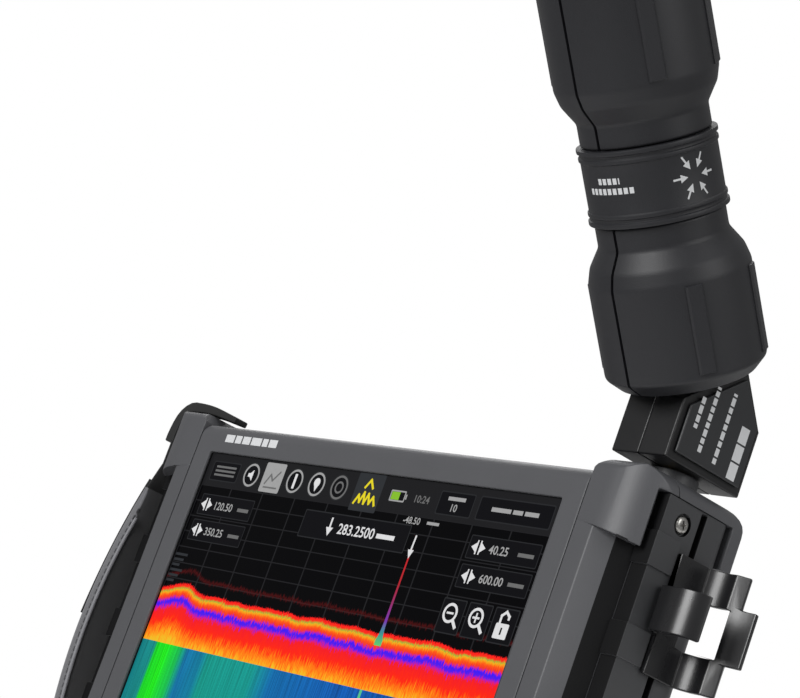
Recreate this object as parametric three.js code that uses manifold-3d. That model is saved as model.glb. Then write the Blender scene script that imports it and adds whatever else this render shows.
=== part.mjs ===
// Portable touch-screen spectrum analyser, leaning back on its rear stand, with an omnidirectional
// antenna plugged into its top. Millimetres, +Z up, the screen faces -Y.
// Every piece is laid out in the case's own frame: X to the right, Y from the glass to the back and
// Z up the screen, from the middle of the screen's top edge. The whole case is then leaned back and
// moved so that the origin is on the table, under the middle of the object's box.
import * as THREE from "three";
import { mergeVertices } from "three/addons/utils/BufferGeometryUtils.js";
import Module from "manifold-3d";

const wasm = await Module();
wasm.setup();

// ---- Driving dimensions -------------------------------------------------------------------------
const LEAN = THREE.MathUtils.degToRad(25.7); // how far the case leans back on its stand
const GAP = 0.3; // between pieces that touch
const ARC_STEPS = 6; // facets in a quarter-turn fillet

const SCREEN_WIDTH = 217;
const SCREEN_HEIGHT = 135.6;
const GLASS_THICKNESS = 1.8;
const GLASS_LAP = 4; // how far the glass goes under the bezel
const GASKET_THICKNESS = 1;
const GASKET_WIDTH = 3.4;
const LCD_THICKNESS = 5;
const LCD_LAP = 1.8;

const BEZEL_PROUD = 2; // bezel face in front of the glass
const BEZEL_PLATE = 5; // thickness of the bezel's front plate
const BEZEL_SIDE = 10.5; // from the screen's edge to the seam with the side grip
const BEZEL_TOP = 13;
const BEZEL_BOTTOM = 34;
const BEZEL_FILLET = 6;

const WALL = 3;
const PARTING_DEPTH = 15; // from the glass back to the seam between the case's front and rear
const CASE_DEPTH = 45; // from the glass back to the rear face
const GRIP_WIDTH = 29; // from the bezel's seam out to the case's side
const SHELL_INSET = 8; // how far the rear shell's side is inside the grip's, where the rail fits
const REAR_FILLET = 6;

const GUARD_RISE = 4.5; // corner guards above and below the case
const GUARD_BACK = 6; // corner guards behind the rear face
const GUARD_REACH = 21; // bumper down the side
const GUARD_REAR_REACH = 18.5; // corner guard down the side
const GUARD_LEAN_IN = 5; // run of the slope at the guard's inner end
const GRIP_SWELL = 0.8; // bumper face in front of the bezel
const GRIP_ROUND = 9; // corner of the guards, seen from the front
const GRIP_LEDGE = 9; // flat face beside the seam, before the finger channel
const CHANNEL_DEPTH = 12; // finger channel, from the grip's face back
const CHANNEL_BEVEL = 4; // step from the bumper into the channel
const REST_DEPTH = 44; // where the lower guards' resting facet starts, back from the glass

const BULGE_HALF_WIDTH = 62;
const BULGE_DEPTH = 13; // rear bulge behind the rear face
const BULGE_TOP = -2; // from the screen's top edge
const BULGE_HEIGHT = 132;
const BULGE_SLOPE = 10;

const RAIL_FRONT = 10; // rail's front edge, back from the glass
const RAIL_TOP_INSET = 3; // below the case's top
const RECESS_WIDTH = 3.7; // dark slot between the bumper and the rail
const RAIL_LOW_INSET = 9.6; // above the case's bottom
const RAIL_SLOT_DEPTH_POS = 28; // slot's front wall, back from the glass
const RAIL_SLOT_WIDTH = 3;
const RAIL_SLOT_CUT = 3;
const RAIL_SLOT_TOP = -11; // upper end of the second slot
const RAIL_SLOT_PITCH = 39.3;
const RAIL_SLOT_LENGTH = 37.7;
const RAIL_SLOT_END = 0.7; // from the rail's end to its first slot
const TOOTH_PITCH = 33.9;
const TOOTH_HEIGHT = 12.6;
const TOOTH_TOP = -4;
const TOOTH_COUNT = 4;
const TOOTH_FRONT = 8.8;
const TOOTH_PROUD = 1;

const SCREW_HEAD_RADIUS = 3.5;
const SCREW_HEAD_HEIGHT = 2;
const SCREW_SHANK_RADIUS = 1.5;
const SCREW_LENGTH = 10;
const SCREW_DRIVE = 0.9; // width of the cross recess's arms
const RAIL_SCREW_DEPTH_POS = 20.5;
const RAIL_SCREW_SINK = 1.8; // depth of the recess for the rail screw's head
const RAIL_SCREW_END = 8; // from the rail's end to the screw
const CASE_SCREW_SIDE = 35; // from the rear shell's side
const CASE_SCREW_INSET = 12; // from the case's top and bottom edges

const CLIP_TOP = -7.5;
const CLIP_ROWS = [13, 18.5, 13]; // heights of the clip's three rows, from the top down
const CLIP_WALL = 2.2;
const CLIP_BASE_WIDTH = 11;
const CLIP_BASE_FRONT = 22.5;
const CLIP_ROD_RADIUS = 9.5; // radius of the rod that the clip holds
const CLIP_ROD_STANDOFF = 1; // from the rail's face to the rod
const CLIP_ROD_DEPTH_POS = 29.5;
const CLIP_BEND = 2; // where a finger leaves the clip's plate
const CLIP_FRONT_ARC = [272, 335]; // degrees round the rod
const CLIP_REAR_ARC = [138, 78];
const CLIP_REAR_OUT = 1.5; // rear fingers outside the front finger's circle
const CLIP_LIP = [7, 4]; // end of the rear fingers, right of the rod's centre and behind the circle
const CLIP_ROW_GAP = 1.6; // between the front finger and the row below
const CLIP_TAB_LENGTH = 10;
const CLIP_TAB_LAP = 1; // tab over the rows that carry it

const STAND_HINGE_HEIGHT = -40; // from the screen's top edge
const STAND_HINGE_BACK = 6; // hinge axis behind the rear face
const STAND_SPLAY = THREE.MathUtils.degToRad(20); // leg from the vertical
const STAND_LEG_WIDTH = 12;
const STAND_LEG_THICKNESS = 9;
const STAND_LEG_CLEARANCE = 4; // from the rear bulge's side to the leg
const STAND_BAR_HEIGHT = 13;
const STAND_PAD_THICKNESS = 3;
const STAND_PIN_RADIUS = 2;
const LUG_WIDTH = 5;

const BATTERY_HALF_WIDTH = 36.7;
const BATTERY_TOP = -65.3;
const BATTERY_HEIGHT = 73.4;
const BATTERY_DEPTH = 24.5;
const BATTERY_WALL = 1.8;
const BAY_WALL = 2.5;
const CELL_RADIUS = 10.5;
const CELL_LENGTH = 65;
const CELL_PITCH = 22.5;
const LATCH_SIZE = [18, 2, 9];
const LATCH_ABOVE = 4; // from the battery's top edge to the latch

const STRAP_WIDTH = 38;
const STRAP_FRONT = 6; // strap's front edge, back from the glass
const STRAP_OFFSET = 2.6; // straight part of the strap out from the side
const STRAP_BOW = 17;
const STRAP_LOW_INSET = 3.6; // webbing's lower end above the case's bottom
const STRAP_TOP = -6;
const WEBBING_THICKNESS = 1.6;
const PAD_THICKNESS = 8;
const PAD_HALF_ANGLE = THREE.MathUtils.degToRad(19.5);
const PAD_OVERHANG = 2;
const TAB_THICKNESS = 2;
const TAB_LIFT = 3; // tab's free end off the webbing
const TAIL_FRONT = 5;
const TAIL_WIDTH = 7;
const TAIL_THICKNESS = 6;
const TAIL_END_THICKNESS = 2.5;
const TAIL_REACH = 9.7; // tail's end past the seam
const ANCHOR_HEIGHT = 10;
const ANCHOR_INSET = 4; // clamp plate's edge from the webbing's
const ANCHOR_THICKNESS = 2;
const STUD_RADIUS = 2;
const STUD_INSET = 10; // from the webbing's edge to a stud

const CHASSIS_THICKNESS = 1.5;
const CHASSIS_RIM = [20, 25]; // chassis left round its opening, at the sides and the top
const BOARD_SETBACK = 2; // board behind the parting seam
const BOARD_THICKNESS = 1.6;
const BOARD_INSET = 10; // from the screen's bottom edge
const SHIELD_DEPTH = 11;
const SHIELD_WALL = 1;
const SHIELD_X = 5; // shield's inner side
const SHIELD_TOP = -6;
const SHIELD_LOW = -62;
const JACK_RADIUS = 4; // hole in the shield for the antenna's lead
const JACK_Z = -30;
const JACK_INSET = 20; // from the screen's side
const LEAD_RADIUS = 1.25;
const SPEAKER_X = 98;
const SPEAKER_Z = -120;
const SPEAKER_RADIUS = 14;
const SPEAKER_DEPTH = 8.7;
const GRILLE_PITCH = 5;
const GRILLE_SLOT = [20, 2]; // length and width of a slot in the grille
const GRILLE_SLOTS = 4;

const BUTTON_RADIUS = 6;
const BUTTON_X = 98;
const BUTTON_PROUD = 0.8;
const BUTTON_FLANGE = 1.5;
const STATUS_RADIUS = 1.5;
const STATUS_X = 82;

const PORT_DEPTH_POS = 31;
const PORT_HEIGHT = 9;
const USB_X = -62;
const USB_SIZE = [10, 4.4];
const AUDIO_X = -46;
const AUDIO_RADIUS = 3.7;
const DC_X = -32;
const DC_RADIUS = 4.5;
const SOCKET_FLOOR = 2;
const USB_MOUTH = [8.6, 3];
const AUDIO_BORE = 1.8;
const DC_BORE = 2.8;
const DC_PIN = 0.9;
const PORT_COVER_SIZE = [50, 17, 2.2];
const PORT_COVER_X = -46;

const ANTENNA_INSET = 18.1; // centre of the antenna's plug in from the case's side
const ANTENNA_DEPTH_POS = 26.6;
const ANTENNA_TILT = THREE.MathUtils.degToRad(40); // mast leaning forward from the case
const RECEPTACLE_RADIUS = 9.5;
const RECEPTACLE_HEIGHT = 8.4;
const PLUG_RADIUS = 6;
const PLUG_CLEARANCE = 0.35;
const ELBOW_LIFT = 9.2; // elbow's underside above the case's top
const ELBOW_WIDTH = 27.2;
const ELBOW_LENGTH = 41.5;
const ELBOW_BACK_HEIGHT = 25.6;
const ELBOW_WALL = 2.6;
const LABEL_THICKNESS = 1.2;
const LABEL_MARGIN = 3;
const MAST_BASE = 23.4; // height of the point above the elbow's underside where the mast's axis starts
const COLLAR_RADIUS = 15;
const COLLAR_LENGTH = 1.5;
const BULB_RADIUS = 29.5;
const BULB_WALL = 2.4;
const BULB_START = 14.3; // along the mast's axis
const LOWER_BULB_LENGTH = 61;
const UPPER_BULB_LENGTH = 128;
const BULB_CHAMFER = 5;
const SHOULDER_LENGTH = 7;
const BEVEL_LENGTH = 5.5; // gentle bevel between the shoulder and the body
const BEVEL_DROP = 1.5;
const BULB_TAPER = 0.6;
const CROWN_LENGTH = 16;
const NECK_RADIUS = 23.6;
const NECK_LENGTH = 8.5;
const BAND_LENGTH = 27.6;
const BAND_RADIUS = 24.6;
const LIP_RADIUS = 25.4;
const LIP_LENGTH = 1.6;
const RIB_WIDTH = 6.4;
const RIB_PROUD = 1;
const RIB_ANGLES = [60, 120]; // from the front seam, on both sides
const CORE_RADIUS = 7;
const LATHE_STEPS = 40;

// ---- Sizes that follow from them ----------------------------------------------------------------
const frontY = -BEZEL_PROUD;
const seamX = SCREEN_WIDTH / 2 + BEZEL_SIDE;
const sideX = seamX + GRIP_WIDTH;
const shellX = sideX - SHELL_INSET;
const topZ = BEZEL_TOP;
const bottomZ = -SCREEN_HEIGHT - BEZEL_BOTTOM;
const railTop = topZ - RAIL_TOP_INSET;
const railLow = bottomZ + RAIL_LOW_INSET;
const antennaX = sideX - ANTENNA_INSET;
const caseScrewX = shellX - CASE_SCREW_SIDE;
const bulgeY = CASE_DEPTH + BULGE_DEPTH;
const bumperRound = PARTING_DEPTH + BEZEL_PROUD + GRIP_SWELL - GAP;
const toothBack = CLIP_BASE_FRONT - 2 * GAP;
const restHeight = -REST_DEPTH * Math.sin(LEAN) + (bottomZ - GUARD_RISE) * Math.cos(LEAN);

// ---- Materials ----------------------------------------------------------------------------------
const finish = (color, roughness, metalness = 0) => ({ color, roughness, metalness });
const FINISHES = {
  casing: finish(0x4e4f52, 0.55),
  guard: finish(0x525356, 0.6),
  dark: finish(0x202123, 0.5),
  antenna: finish(0x2f3034, 0.7),
  rubber: finish(0x1a1a1b, 0.9),
  steel: finish(0xb8b6b0, 0.3, 1),
  brass: finish(0xc09a4a, 0.35, 1),
  aluminium: finish(0xa9acb0, 0.4, 1),
  glass: finish(0x101418, 0.08),
  board: finish(0x1d5a35, 0.6),
  fabric: finish(0x3a3a3d, 0.95),
  webbing: finish(0x161617, 0.95),
  white: finish(0xe8e8e6, 0.6),
  label: finish(0x26272a, 0.5),
};

// ---- Geometry helpers ---------------------------------------------------------------------------
const AXIS_X = new THREE.Vector3(1, 0, 0);
const AXIS_Y = new THREE.Vector3(0, 1, 0);
const AXIS_Z = new THREE.Vector3(0, 0, 1);
const FACING = {
  x: new THREE.Matrix4().makeBasis(AXIS_Y, AXIS_Z, AXIS_X),
  y: new THREE.Matrix4().makeBasis(AXIS_X, AXIS_Z, AXIS_Y.clone().negate()),
  z: new THREE.Matrix4(),
};

// An outline extruded along an axis: it is drawn in Y,Z for x, in X,Z for y and in X,Y for z.
function prism(outline, axis, from, to) {
  const points = outline.map(([a, b]) => new THREE.Vector2(a, b));
  const shape = new THREE.Shape(points);
  const geometry = new THREE.ExtrudeGeometry(shape, { depth: to - from, bevelEnabled: false });
  geometry.translate(0, 0, axis === "y" ? -to : from);
  return geometry.applyMatrix4(FACING[axis]);
}

function block(x0, x1, y0, y1, z0, z1) {
  const geometry = new THREE.BoxGeometry(x1 - x0, y1 - y0, z1 - z0);
  return geometry.translate((x0 + x1) / 2, (y0 + y1) / 2, (z0 + z1) / 2);
}

// A round bar along an axis, through the point that two coordinates give.
function bar(axis, [a, b], radius, from, to, steps = 24) {
  const geometry = new THREE.CylinderGeometry(radius, radius, to - from, steps);
  geometry.rotateX(Math.PI / 2).translate(0, 0, (from + to) / 2);
  if (axis === "x") return geometry.rotateY(Math.PI / 2).translate(0, a, b);
  if (axis === "y") return geometry.rotateX(-Math.PI / 2).translate(a, 0, b);
  return geometry.translate(a, b, 0);
}

// Points of an arc, from one angle to another, both in degrees.
function arc(cx, cy, radius, from, to, steps = ARC_STEPS) {
  const at = (i) => THREE.MathUtils.degToRad(from + ((to - from) * i) / steps);
  const indices = Array.from({ length: steps + 1 }, (_, i) => i);
  return indices.map((i) => [cx + radius * Math.cos(at(i)), cy + radius * Math.sin(at(i))]);
}

// The outline of a flat strip laid along a path, tapering from one thickness to another.
function strip(path, thickness, endThickness = thickness) {
  const points = path.map(([a, b]) => new THREE.Vector2(a, b));
  const side = (sign) =>
    points.map((point, i) => {
      const before = points[Math.max(i - 1, 0)];
      const after = points[Math.min(i + 1, points.length - 1)];
      const along = after.clone().sub(before).normalize();
      const share = i / (points.length - 1);
      const reach = (sign * (thickness + (endThickness - thickness) * share)) / 2;
      return [point.x - along.y * reach, point.y + along.x * reach];
    });
  return [...side(1), ...side(-1).reverse()];
}

// A smooth path through a few points.
function smooth(path, steps) {
  const curve = new THREE.CatmullRomCurve3(path.map(([a, b]) => new THREE.Vector3(a, b, 0)));
  return curve.getSpacedPoints(steps).map((point) => [point.x, point.y]);
}

function lathe(profile, steps = LATHE_STEPS) {
  const points = profile.map(([radius, height]) => new THREE.Vector2(radius, height));
  return new THREE.LatheGeometry(points, steps).rotateX(Math.PI / 2);
}

function solid(geometry) {
  if (!geometry.isBufferGeometry) return geometry;
  const bare = geometry.clone();
  bare.deleteAttribute("normal");
  bare.deleteAttribute("uv");
  const merged = mergeVertices(bare, 1e-4);
  const vertProperties = new Float32Array(merged.attributes.position.array);
  const triVerts = new Uint32Array(merged.index.array);
  return new wasm.Manifold(new wasm.Mesh({ numProp: 3, vertProperties, triVerts }));
}

const join = (first, ...others) => others.reduce((all, one) => all.add(solid(one)), solid(first));
const cut = (first, ...tools) => tools.reduce((all, one) => all.subtract(solid(one)), solid(first));
const common = (first, second) => solid(first).intersect(solid(second));

function geometryOf(shape) {
  if (shape.isBufferGeometry) return shape;
  const mesh = shape.getMesh();
  const positions = new THREE.BufferAttribute(new Float32Array(mesh.vertProperties), 3);
  const geometry = new THREE.BufferGeometry().setAttribute("position", positions);
  return geometry.setIndex(new THREE.BufferAttribute(new Uint32Array(mesh.triVerts), 1));
}

// The same solid on the other side of the case.
function mirrored(shape) {
  const geometry = geometryOf(solid(shape)).applyMatrix4(new THREE.Matrix4().makeScale(-1, 1, 1));
  const corners = geometry.index.array;
  for (let i = 0; i < corners.length; i += 3) {
    const swapped = corners[i + 1];
    corners[i + 1] = corners[i + 2];
    corners[i + 2] = swapped;
  }
  return geometry;
}

const both = (make) => [
  ["right", make()],
  ["left", mirrored(make())],
];

function piece(group, name, shape, look) {
  const geometry = geometryOf(shape);
  geometry.computeVertexNormals();
  const mesh = new THREE.Mesh(geometry, new THREE.MeshStandardMaterial(FINISHES[look]));
  mesh.name = name;
  group.add(mesh);
  return mesh;
}

// ---- Fasteners ----------------------------------------------------------------------------------
// A pan-head screw along local +Z, its head's underside at 0 and its shank below.
function screwShape() {
  const head = bar("z", [0, 0], SCREW_HEAD_RADIUS, 0, SCREW_HEAD_HEIGHT, 20);
  const shank = bar("z", [0, 0], SCREW_SHANK_RADIUS, -SCREW_LENGTH, 0.5, 12);
  const arm = SCREW_HEAD_RADIUS * 0.6;
  const half = SCREW_DRIVE / 2;
  const floor = SCREW_HEAD_HEIGHT / 2;
  const first = block(-arm, arm, -half, half, floor, SCREW_HEAD_HEIGHT + 1);
  const second = block(-half, half, -arm, arm, floor, SCREW_HEAD_HEIGHT + 1);
  return cut(join(head, shank), first, second);
}

const railScrewHeights = [railTop - RAIL_SCREW_END, railLow + RAIL_SCREW_END];
const caseScrewHeights = [topZ - CASE_SCREW_INSET, bottomZ + CASE_SCREW_INSET];
const screwHole = SCREW_SHANK_RADIUS + GAP;

function addScrews(group) {
  for (const [side, sign] of [["right", 1], ["left", -1]]) {
    railScrewHeights.forEach((height, i) => {
      const end = i ? "lower" : "upper";
      const screw = piece(group, `rail_screw_${side}_${end}`, screwShape(), "steel");
      screw.rotation.y = (sign * Math.PI) / 2;
      screw.position.set(sign * (sideX - RAIL_SCREW_SINK + GAP), RAIL_SCREW_DEPTH_POS, height);
    });
    caseScrewHeights.forEach((height, i) => {
      const end = i ? "lower" : "upper";
      const screw = piece(group, `case_screw_${side}_${end}`, screwShape(), "steel");
      screw.rotation.x = -Math.PI / 2;
      screw.position.set(sign * caseScrewX, CASE_DEPTH + GAP, height);
    });
  }
}

// ---- Case ---------------------------------------------------------------------------------------
function frontBezel() {
  const back = PARTING_DEPTH - GAP / 2;
  const plate = frontY + BEZEL_PLATE;
  const r = BEZEL_FILLET;
  const section = [
    [back, topZ],
    ...arc(frontY + r, topZ - r, r, 90, 180),
    ...arc(frontY + r, bottomZ + r, r, 180, 270),
    [back, bottomZ],
    [back, bottomZ + WALL],
    [plate, bottomZ + WALL],
    [plate, topZ - WALL],
    [back, topZ - WALL],
  ];
  const half = SCREEN_WIDTH / 2;
  const pocket = half + GLASS_LAP + GAP;
  const reach = GLASS_LAP + GAP;
  const window = block(-half, half, frontY - 1, plate + 1, -SCREEN_HEIGHT, 0);
  const seat = block(-pocket, pocket, -GAP, plate + 1, -SCREEN_HEIGHT - reach, reach);
  const buttonHole = bar("y", [BUTTON_X, keyZ], BUTTON_RADIUS + GAP, frontY - 1, plate + 1);
  const lensHole = bar("y", [STATUS_X, keyZ], STATUS_RADIUS + GAP, frontY - 1, plate + 1, 16);
  return cut(prism(section, "x", -seamX, seamX), window, seat, buttonHole, lensHole);
}

const keyZ = bottomZ + BEZEL_BOTTOM / 2;

// Moulded end of the case's front: a bumper at the top and at the bottom, a finger channel between.
function sideGrip() {
  const inner = seamX + GAP;
  const face = frontY - GRIP_SWELL;
  const back = PARTING_DEPTH - GAP / 2;
  const bumperPlan = [
    [inner, back],
    [inner, frontY],
    [inner + GRIP_LEDGE, face],
    ...arc(sideX - bumperRound, face + bumperRound, bumperRound, 270, 360, 2 * ARC_STEPS),
    [sideX, back],
  ];
  const bumper = (edge, up) => {
    const outer = edge + up * GUARD_RISE;
    const step = edge - up * GUARD_REACH;
    const r = BEZEL_FILLET;
    const faceOutline = [
      [inner, edge],
      [inner + GUARD_LEAN_IN, outer],
      ...arc(sideX - GRIP_ROUND, outer - up * GRIP_ROUND, GRIP_ROUND, up * 90, 0),
      [sideX, step - up * CHANNEL_BEVEL],
      [inner, step + up],
    ];
    const sideOutline = [
      [back, outer],
      ...arc(face + r, outer - up * r, r, up * 90, up * 180),
      [face, step - up * GUARD_REACH],
      [back, step - up * GUARD_REACH],
    ];
    const [low, high] = [Math.min(outer, step) - GUARD_REACH, Math.max(outer, step) + GUARD_REACH];
    const bulk = common(prism(bumperPlan, "z", low, high), prism(faceOutline, "y", face - 1, back + 1));
    return common(bulk, prism(sideOutline, "x", inner - 1, sideX + 1));
  };
  const channelPlan = [
    [inner, back],
    [inner, frontY],
    [inner + GRIP_LEDGE, frontY],
    [shellX - 5, frontY + CHANNEL_DEPTH / 2],
    [shellX, frontY + CHANNEL_DEPTH],
    [shellX, back],
  ];
  const channel = prism(channelPlan, "z", bottomZ + WALL, topZ - WALL);
  const hollowPlan = [
    [inner + WALL, back + 1],
    [inner + WALL, frontY + WALL + GAP],
    [inner + GRIP_LEDGE, frontY + WALL + GAP],
    [shellX - WALL, frontY + CHANNEL_DEPTH],
    [shellX - WALL, back + 1],
  ];
  const hollow = prism(hollowPlan, "z", bottomZ + WALL, topZ - WALL);
  const railRoom = block(shellX, sideX + 1, RAIL_FRONT - RECESS_WIDTH, back + 1,
    railLow - GAP, railTop + GAP);
  return cut(join(channel, bumper(topZ, 1), bumper(bottomZ, -1)), hollow, railRoom);
}

// Outer plan of the rear shell, and the same plan drawn inwards by a margin.
function rearPlan(margin) {
  const x = shellX - margin;
  const y = CASE_DEPTH - margin;
  const r = REAR_FILLET - margin;
  const front = PARTING_DEPTH + GAP / 2 - (margin ? 1 : 0);
  return [
    [-x, front],
    [x, front],
    ...arc(x - r, y - r, r, 0, 90),
    ...arc(-x + r, y - r, r, 90, 180),
  ];
}

function bulgeSide(margin) {
  const y = bulgeY - margin;
  const low = BULGE_TOP - BULGE_HEIGHT;
  return [
    [PARTING_DEPTH + 2 * WALL, BULGE_TOP + BULGE_SLOPE - margin],
    [CASE_DEPTH - margin, BULGE_TOP + BULGE_SLOPE - margin],
    [y, BULGE_TOP - margin],
    [y, low + margin],
    [CASE_DEPTH - margin, low - BULGE_SLOPE + margin],
    [PARTING_DEPTH + 2 * WALL, low - BULGE_SLOPE + margin],
  ];
}

const hingeY = CASE_DEPTH + STAND_HINGE_BACK;
const legInner = BULGE_HALF_WIDTH + STAND_LEG_CLEARANCE;
const legOuter = legInner + STAND_LEG_WIDTH;
const lugInner = legOuter + 1;
const lugOuter = lugInner + LUG_WIDTH;
const batteryFront = bulgeY - BATTERY_DEPTH;
const batteryLow = BATTERY_TOP - BATTERY_HEIGHT;

function rearShell() {
  const outer = join(
    prism(rearPlan(0), "z", bottomZ, topZ),
    prism(bulgeSide(0), "x", -BULGE_HALF_WIDTH, BULGE_HALF_WIDTH),
  );
  const hollow = join(
    prism(rearPlan(WALL), "z", bottomZ + WALL, topZ - WALL),
    prism(bulgeSide(WALL), "x", -BULGE_HALF_WIDTH + WALL, BULGE_HALF_WIDTH - WALL),
  );
  const bay = BATTERY_HALF_WIDTH + GAP;
  const bayOuter = bay + BAY_WALL;
  const bayWalls = block(-bayOuter, bayOuter, batteryFront - GAP - BAY_WALL, bulgeY - WALL / 2,
    batteryLow - GAP - BAY_WALL, BATTERY_TOP + GAP + BAY_WALL);
  const bayRoom = block(-bay, bay, batteryFront - GAP, bulgeY + 1, batteryLow - GAP,
    BATTERY_TOP + GAP);
  const lugs = [1, -1].map((sign) => {
    const [from, to] = sign > 0 ? [lugInner, lugOuter] : [-lugOuter, -lugInner];
    const round = STAND_PIN_RADIUS + WALL;
    const outline = [
      [CASE_DEPTH - 1, STAND_HINGE_HEIGHT + round],
      ...arc(hingeY, STAND_HINGE_HEIGHT, round, 90, -90, 2 * ARC_STEPS),
      [CASE_DEPTH - 1, STAND_HINGE_HEIGHT - round],
    ];
    const pinHole = bar("x", [hingeY, STAND_HINGE_HEIGHT], STAND_PIN_RADIUS + GAP, from - 1, to + 1);
    return cut(prism(outline, "x", from, to), pinHole);
  });
  const holes = [-1, 1].flatMap((sign) => [
    ...caseScrewHeights.map((z) =>
      bar("y", [sign * caseScrewX, z], screwHole, CASE_DEPTH - WALL - 1, CASE_DEPTH + 1, 12)),
    ...railScrewHeights.map((z) => {
      const [from, to] = sign > 0 ? [shellX - WALL - 1, shellX + 1] : [-shellX - 1, WALL + 1 - shellX];
      return bar("x", [RAIL_SCREW_DEPTH_POS, z], screwHole, from, to, 12);
    }),
  ]);
  const [slotLength, slotWidth] = GRILLE_SLOT;
  const grille = Array.from({ length: GRILLE_SLOTS }, (_, i) => {
    const z = SPEAKER_Z + GRILLE_PITCH * (i - (GRILLE_SLOTS - 1) / 2);
    return block(-SPEAKER_X - slotLength / 2, -SPEAKER_X + slotLength / 2, CASE_DEPTH - WALL - 1,
      CASE_DEPTH + 1, z - slotWidth / 2, z + slotWidth / 2);
  });
  const leadHole = bar("z", [antennaX, ANTENNA_DEPTH_POS], LEAD_RADIUS + 1, topZ - WALL - 1,
    topZ + 1, 12);
  const ports = portOutlines(GAP).map((shape) => shape(topZ - WALL - 1, topZ + 1));
  const filled = join(cut(outer, hollow), bayWalls, ...lugs);
  return cut(filled, bayRoom, ...holes, ...grille, leadHole, ...ports);
}

// Raised guard over a corner of the rear shell, with the flat that the leaning case rests on.
function cornerGuard(upper) {
  const inner = seamX + GAP;
  const front = PARTING_DEPTH + GAP / 2;
  const back = CASE_DEPTH + GUARD_BACK;
  const edge = upper ? topZ : bottomZ;
  const up = upper ? 1 : -1;
  const outerZ = edge + up * GUARD_RISE;
  const endZ = edge - up * GUARD_REAR_REACH;
  const railEnd = upper ? railTop + GAP : railLow - GAP;
  const r = GRIP_ROUND;
  const face = [
    [inner, edge],
    [inner + GUARD_LEAN_IN, outerZ],
    ...arc(sideX - r, outerZ - up * r, r, up * 90, 0),
    [sideX, endZ],
    [inner, endZ],
  ];
  const rearRound = [
    [front, outerZ],
    ...arc(back - REAR_FILLET, outerZ - up * REAR_FILLET, REAR_FILLET, up * 90, 0),
    [back, endZ],
    [front, endZ],
  ];
  const bulk = common(
    prism(face, "y", front, back),
    prism(rearRound, "x", inner - 1, sideX + 1),
  );
  const caseRoom = block(inner - 1, shellX + GAP, front - 1, CASE_DEPTH + GAP,
    Math.min(edge + up * GAP, endZ - 1), Math.max(edge + up * GAP, endZ + 1));
  const railRoom = block(shellX - 1, sideX + 1, front - 1, CASE_DEPTH + GAP,
    Math.min(railEnd, endZ - up), Math.max(railEnd, endZ - up));
  const table = block(-sideX * 2, sideX * 2, -400, 400, restHeight, restHeight + 600);
  const shaped = cut(bulk, caseRoom, railRoom);
  return upper ? shaped : common(shaped, table.rotateX(LEAN));
}

function addCase(group) {
  piece(group, "front_bezel", frontBezel(), "casing");
  piece(group, "rear_shell", rearShell(), "casing");
  const socket = bar("z", [antennaX, ANTENNA_DEPTH_POS], RECEPTACLE_RADIUS + GAP, topZ,
    topZ + GUARD_RISE + 1, 32);
  piece(group, "side_grip_right", cut(sideGrip(), socket), "guard");
  piece(group, "side_grip_left", mirrored(sideGrip()), "guard");
  const upper = cornerGuard(true);
  const lower = cornerGuard(false);
  piece(group, "corner_guard_right_upper", cut(upper, socket), "guard");
  piece(group, "corner_guard_left_upper", mirrored(upper), "guard");
  piece(group, "corner_guard_right_lower", lower, "guard");
  piece(group, "corner_guard_left_lower", mirrored(lower), "guard");
}

// ---- Accessory rails and clip -------------------------------------------------------------------
function sideRail() {
  const r = REAR_FILLET;
  const plan = [
    [shellX + GAP, RAIL_FRONT],
    [sideX, RAIL_FRONT],
    ...arc(sideX - r, CASE_DEPTH - r, r, 0, 90),
    [shellX + GAP, CASE_DEPTH],
  ];
  const teeth = Array.from({ length: TOOTH_COUNT }, (_, i) => {
    const z = TOOTH_TOP - i * TOOTH_PITCH;
    return block(shellX + GAP, sideX + TOOTH_PROUD, TOOTH_FRONT, toothBack, z - TOOTH_HEIGHT, z);
  });
  const slots = [];
  for (let z = RAIL_SLOT_TOP + RAIL_SLOT_PITCH; z > railLow; z -= RAIL_SLOT_PITCH) {
    const start = Math.min(z, railTop - RAIL_SLOT_END);
    const end = Math.max(z - RAIL_SLOT_LENGTH, railLow + RAIL_SLOT_END);
    slots.push(block(sideX - RAIL_SLOT_CUT, sideX + 2, RAIL_SLOT_DEPTH_POS,
      RAIL_SLOT_DEPTH_POS + RAIL_SLOT_WIDTH, end, start));
  }
  const screwHoles = railScrewHeights.flatMap((z) => [
    bar("x", [RAIL_SCREW_DEPTH_POS, z], screwHole, shellX - 1, sideX, 12),
    bar("x", [RAIL_SCREW_DEPTH_POS, z], SCREW_HEAD_RADIUS + 2 * GAP, sideX - RAIL_SCREW_SINK, sideX + 2),
  ]);
  return cut(join(prism(plan, "z", railLow, railTop), ...teeth), ...slots, ...screwHoles);
}

const clipX = sideX + GAP;
const rodX = sideX + CLIP_ROD_STANDOFF + CLIP_ROD_RADIUS;
const clipRadius = CLIP_ROD_RADIUS + CLIP_WALL / 2;

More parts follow.
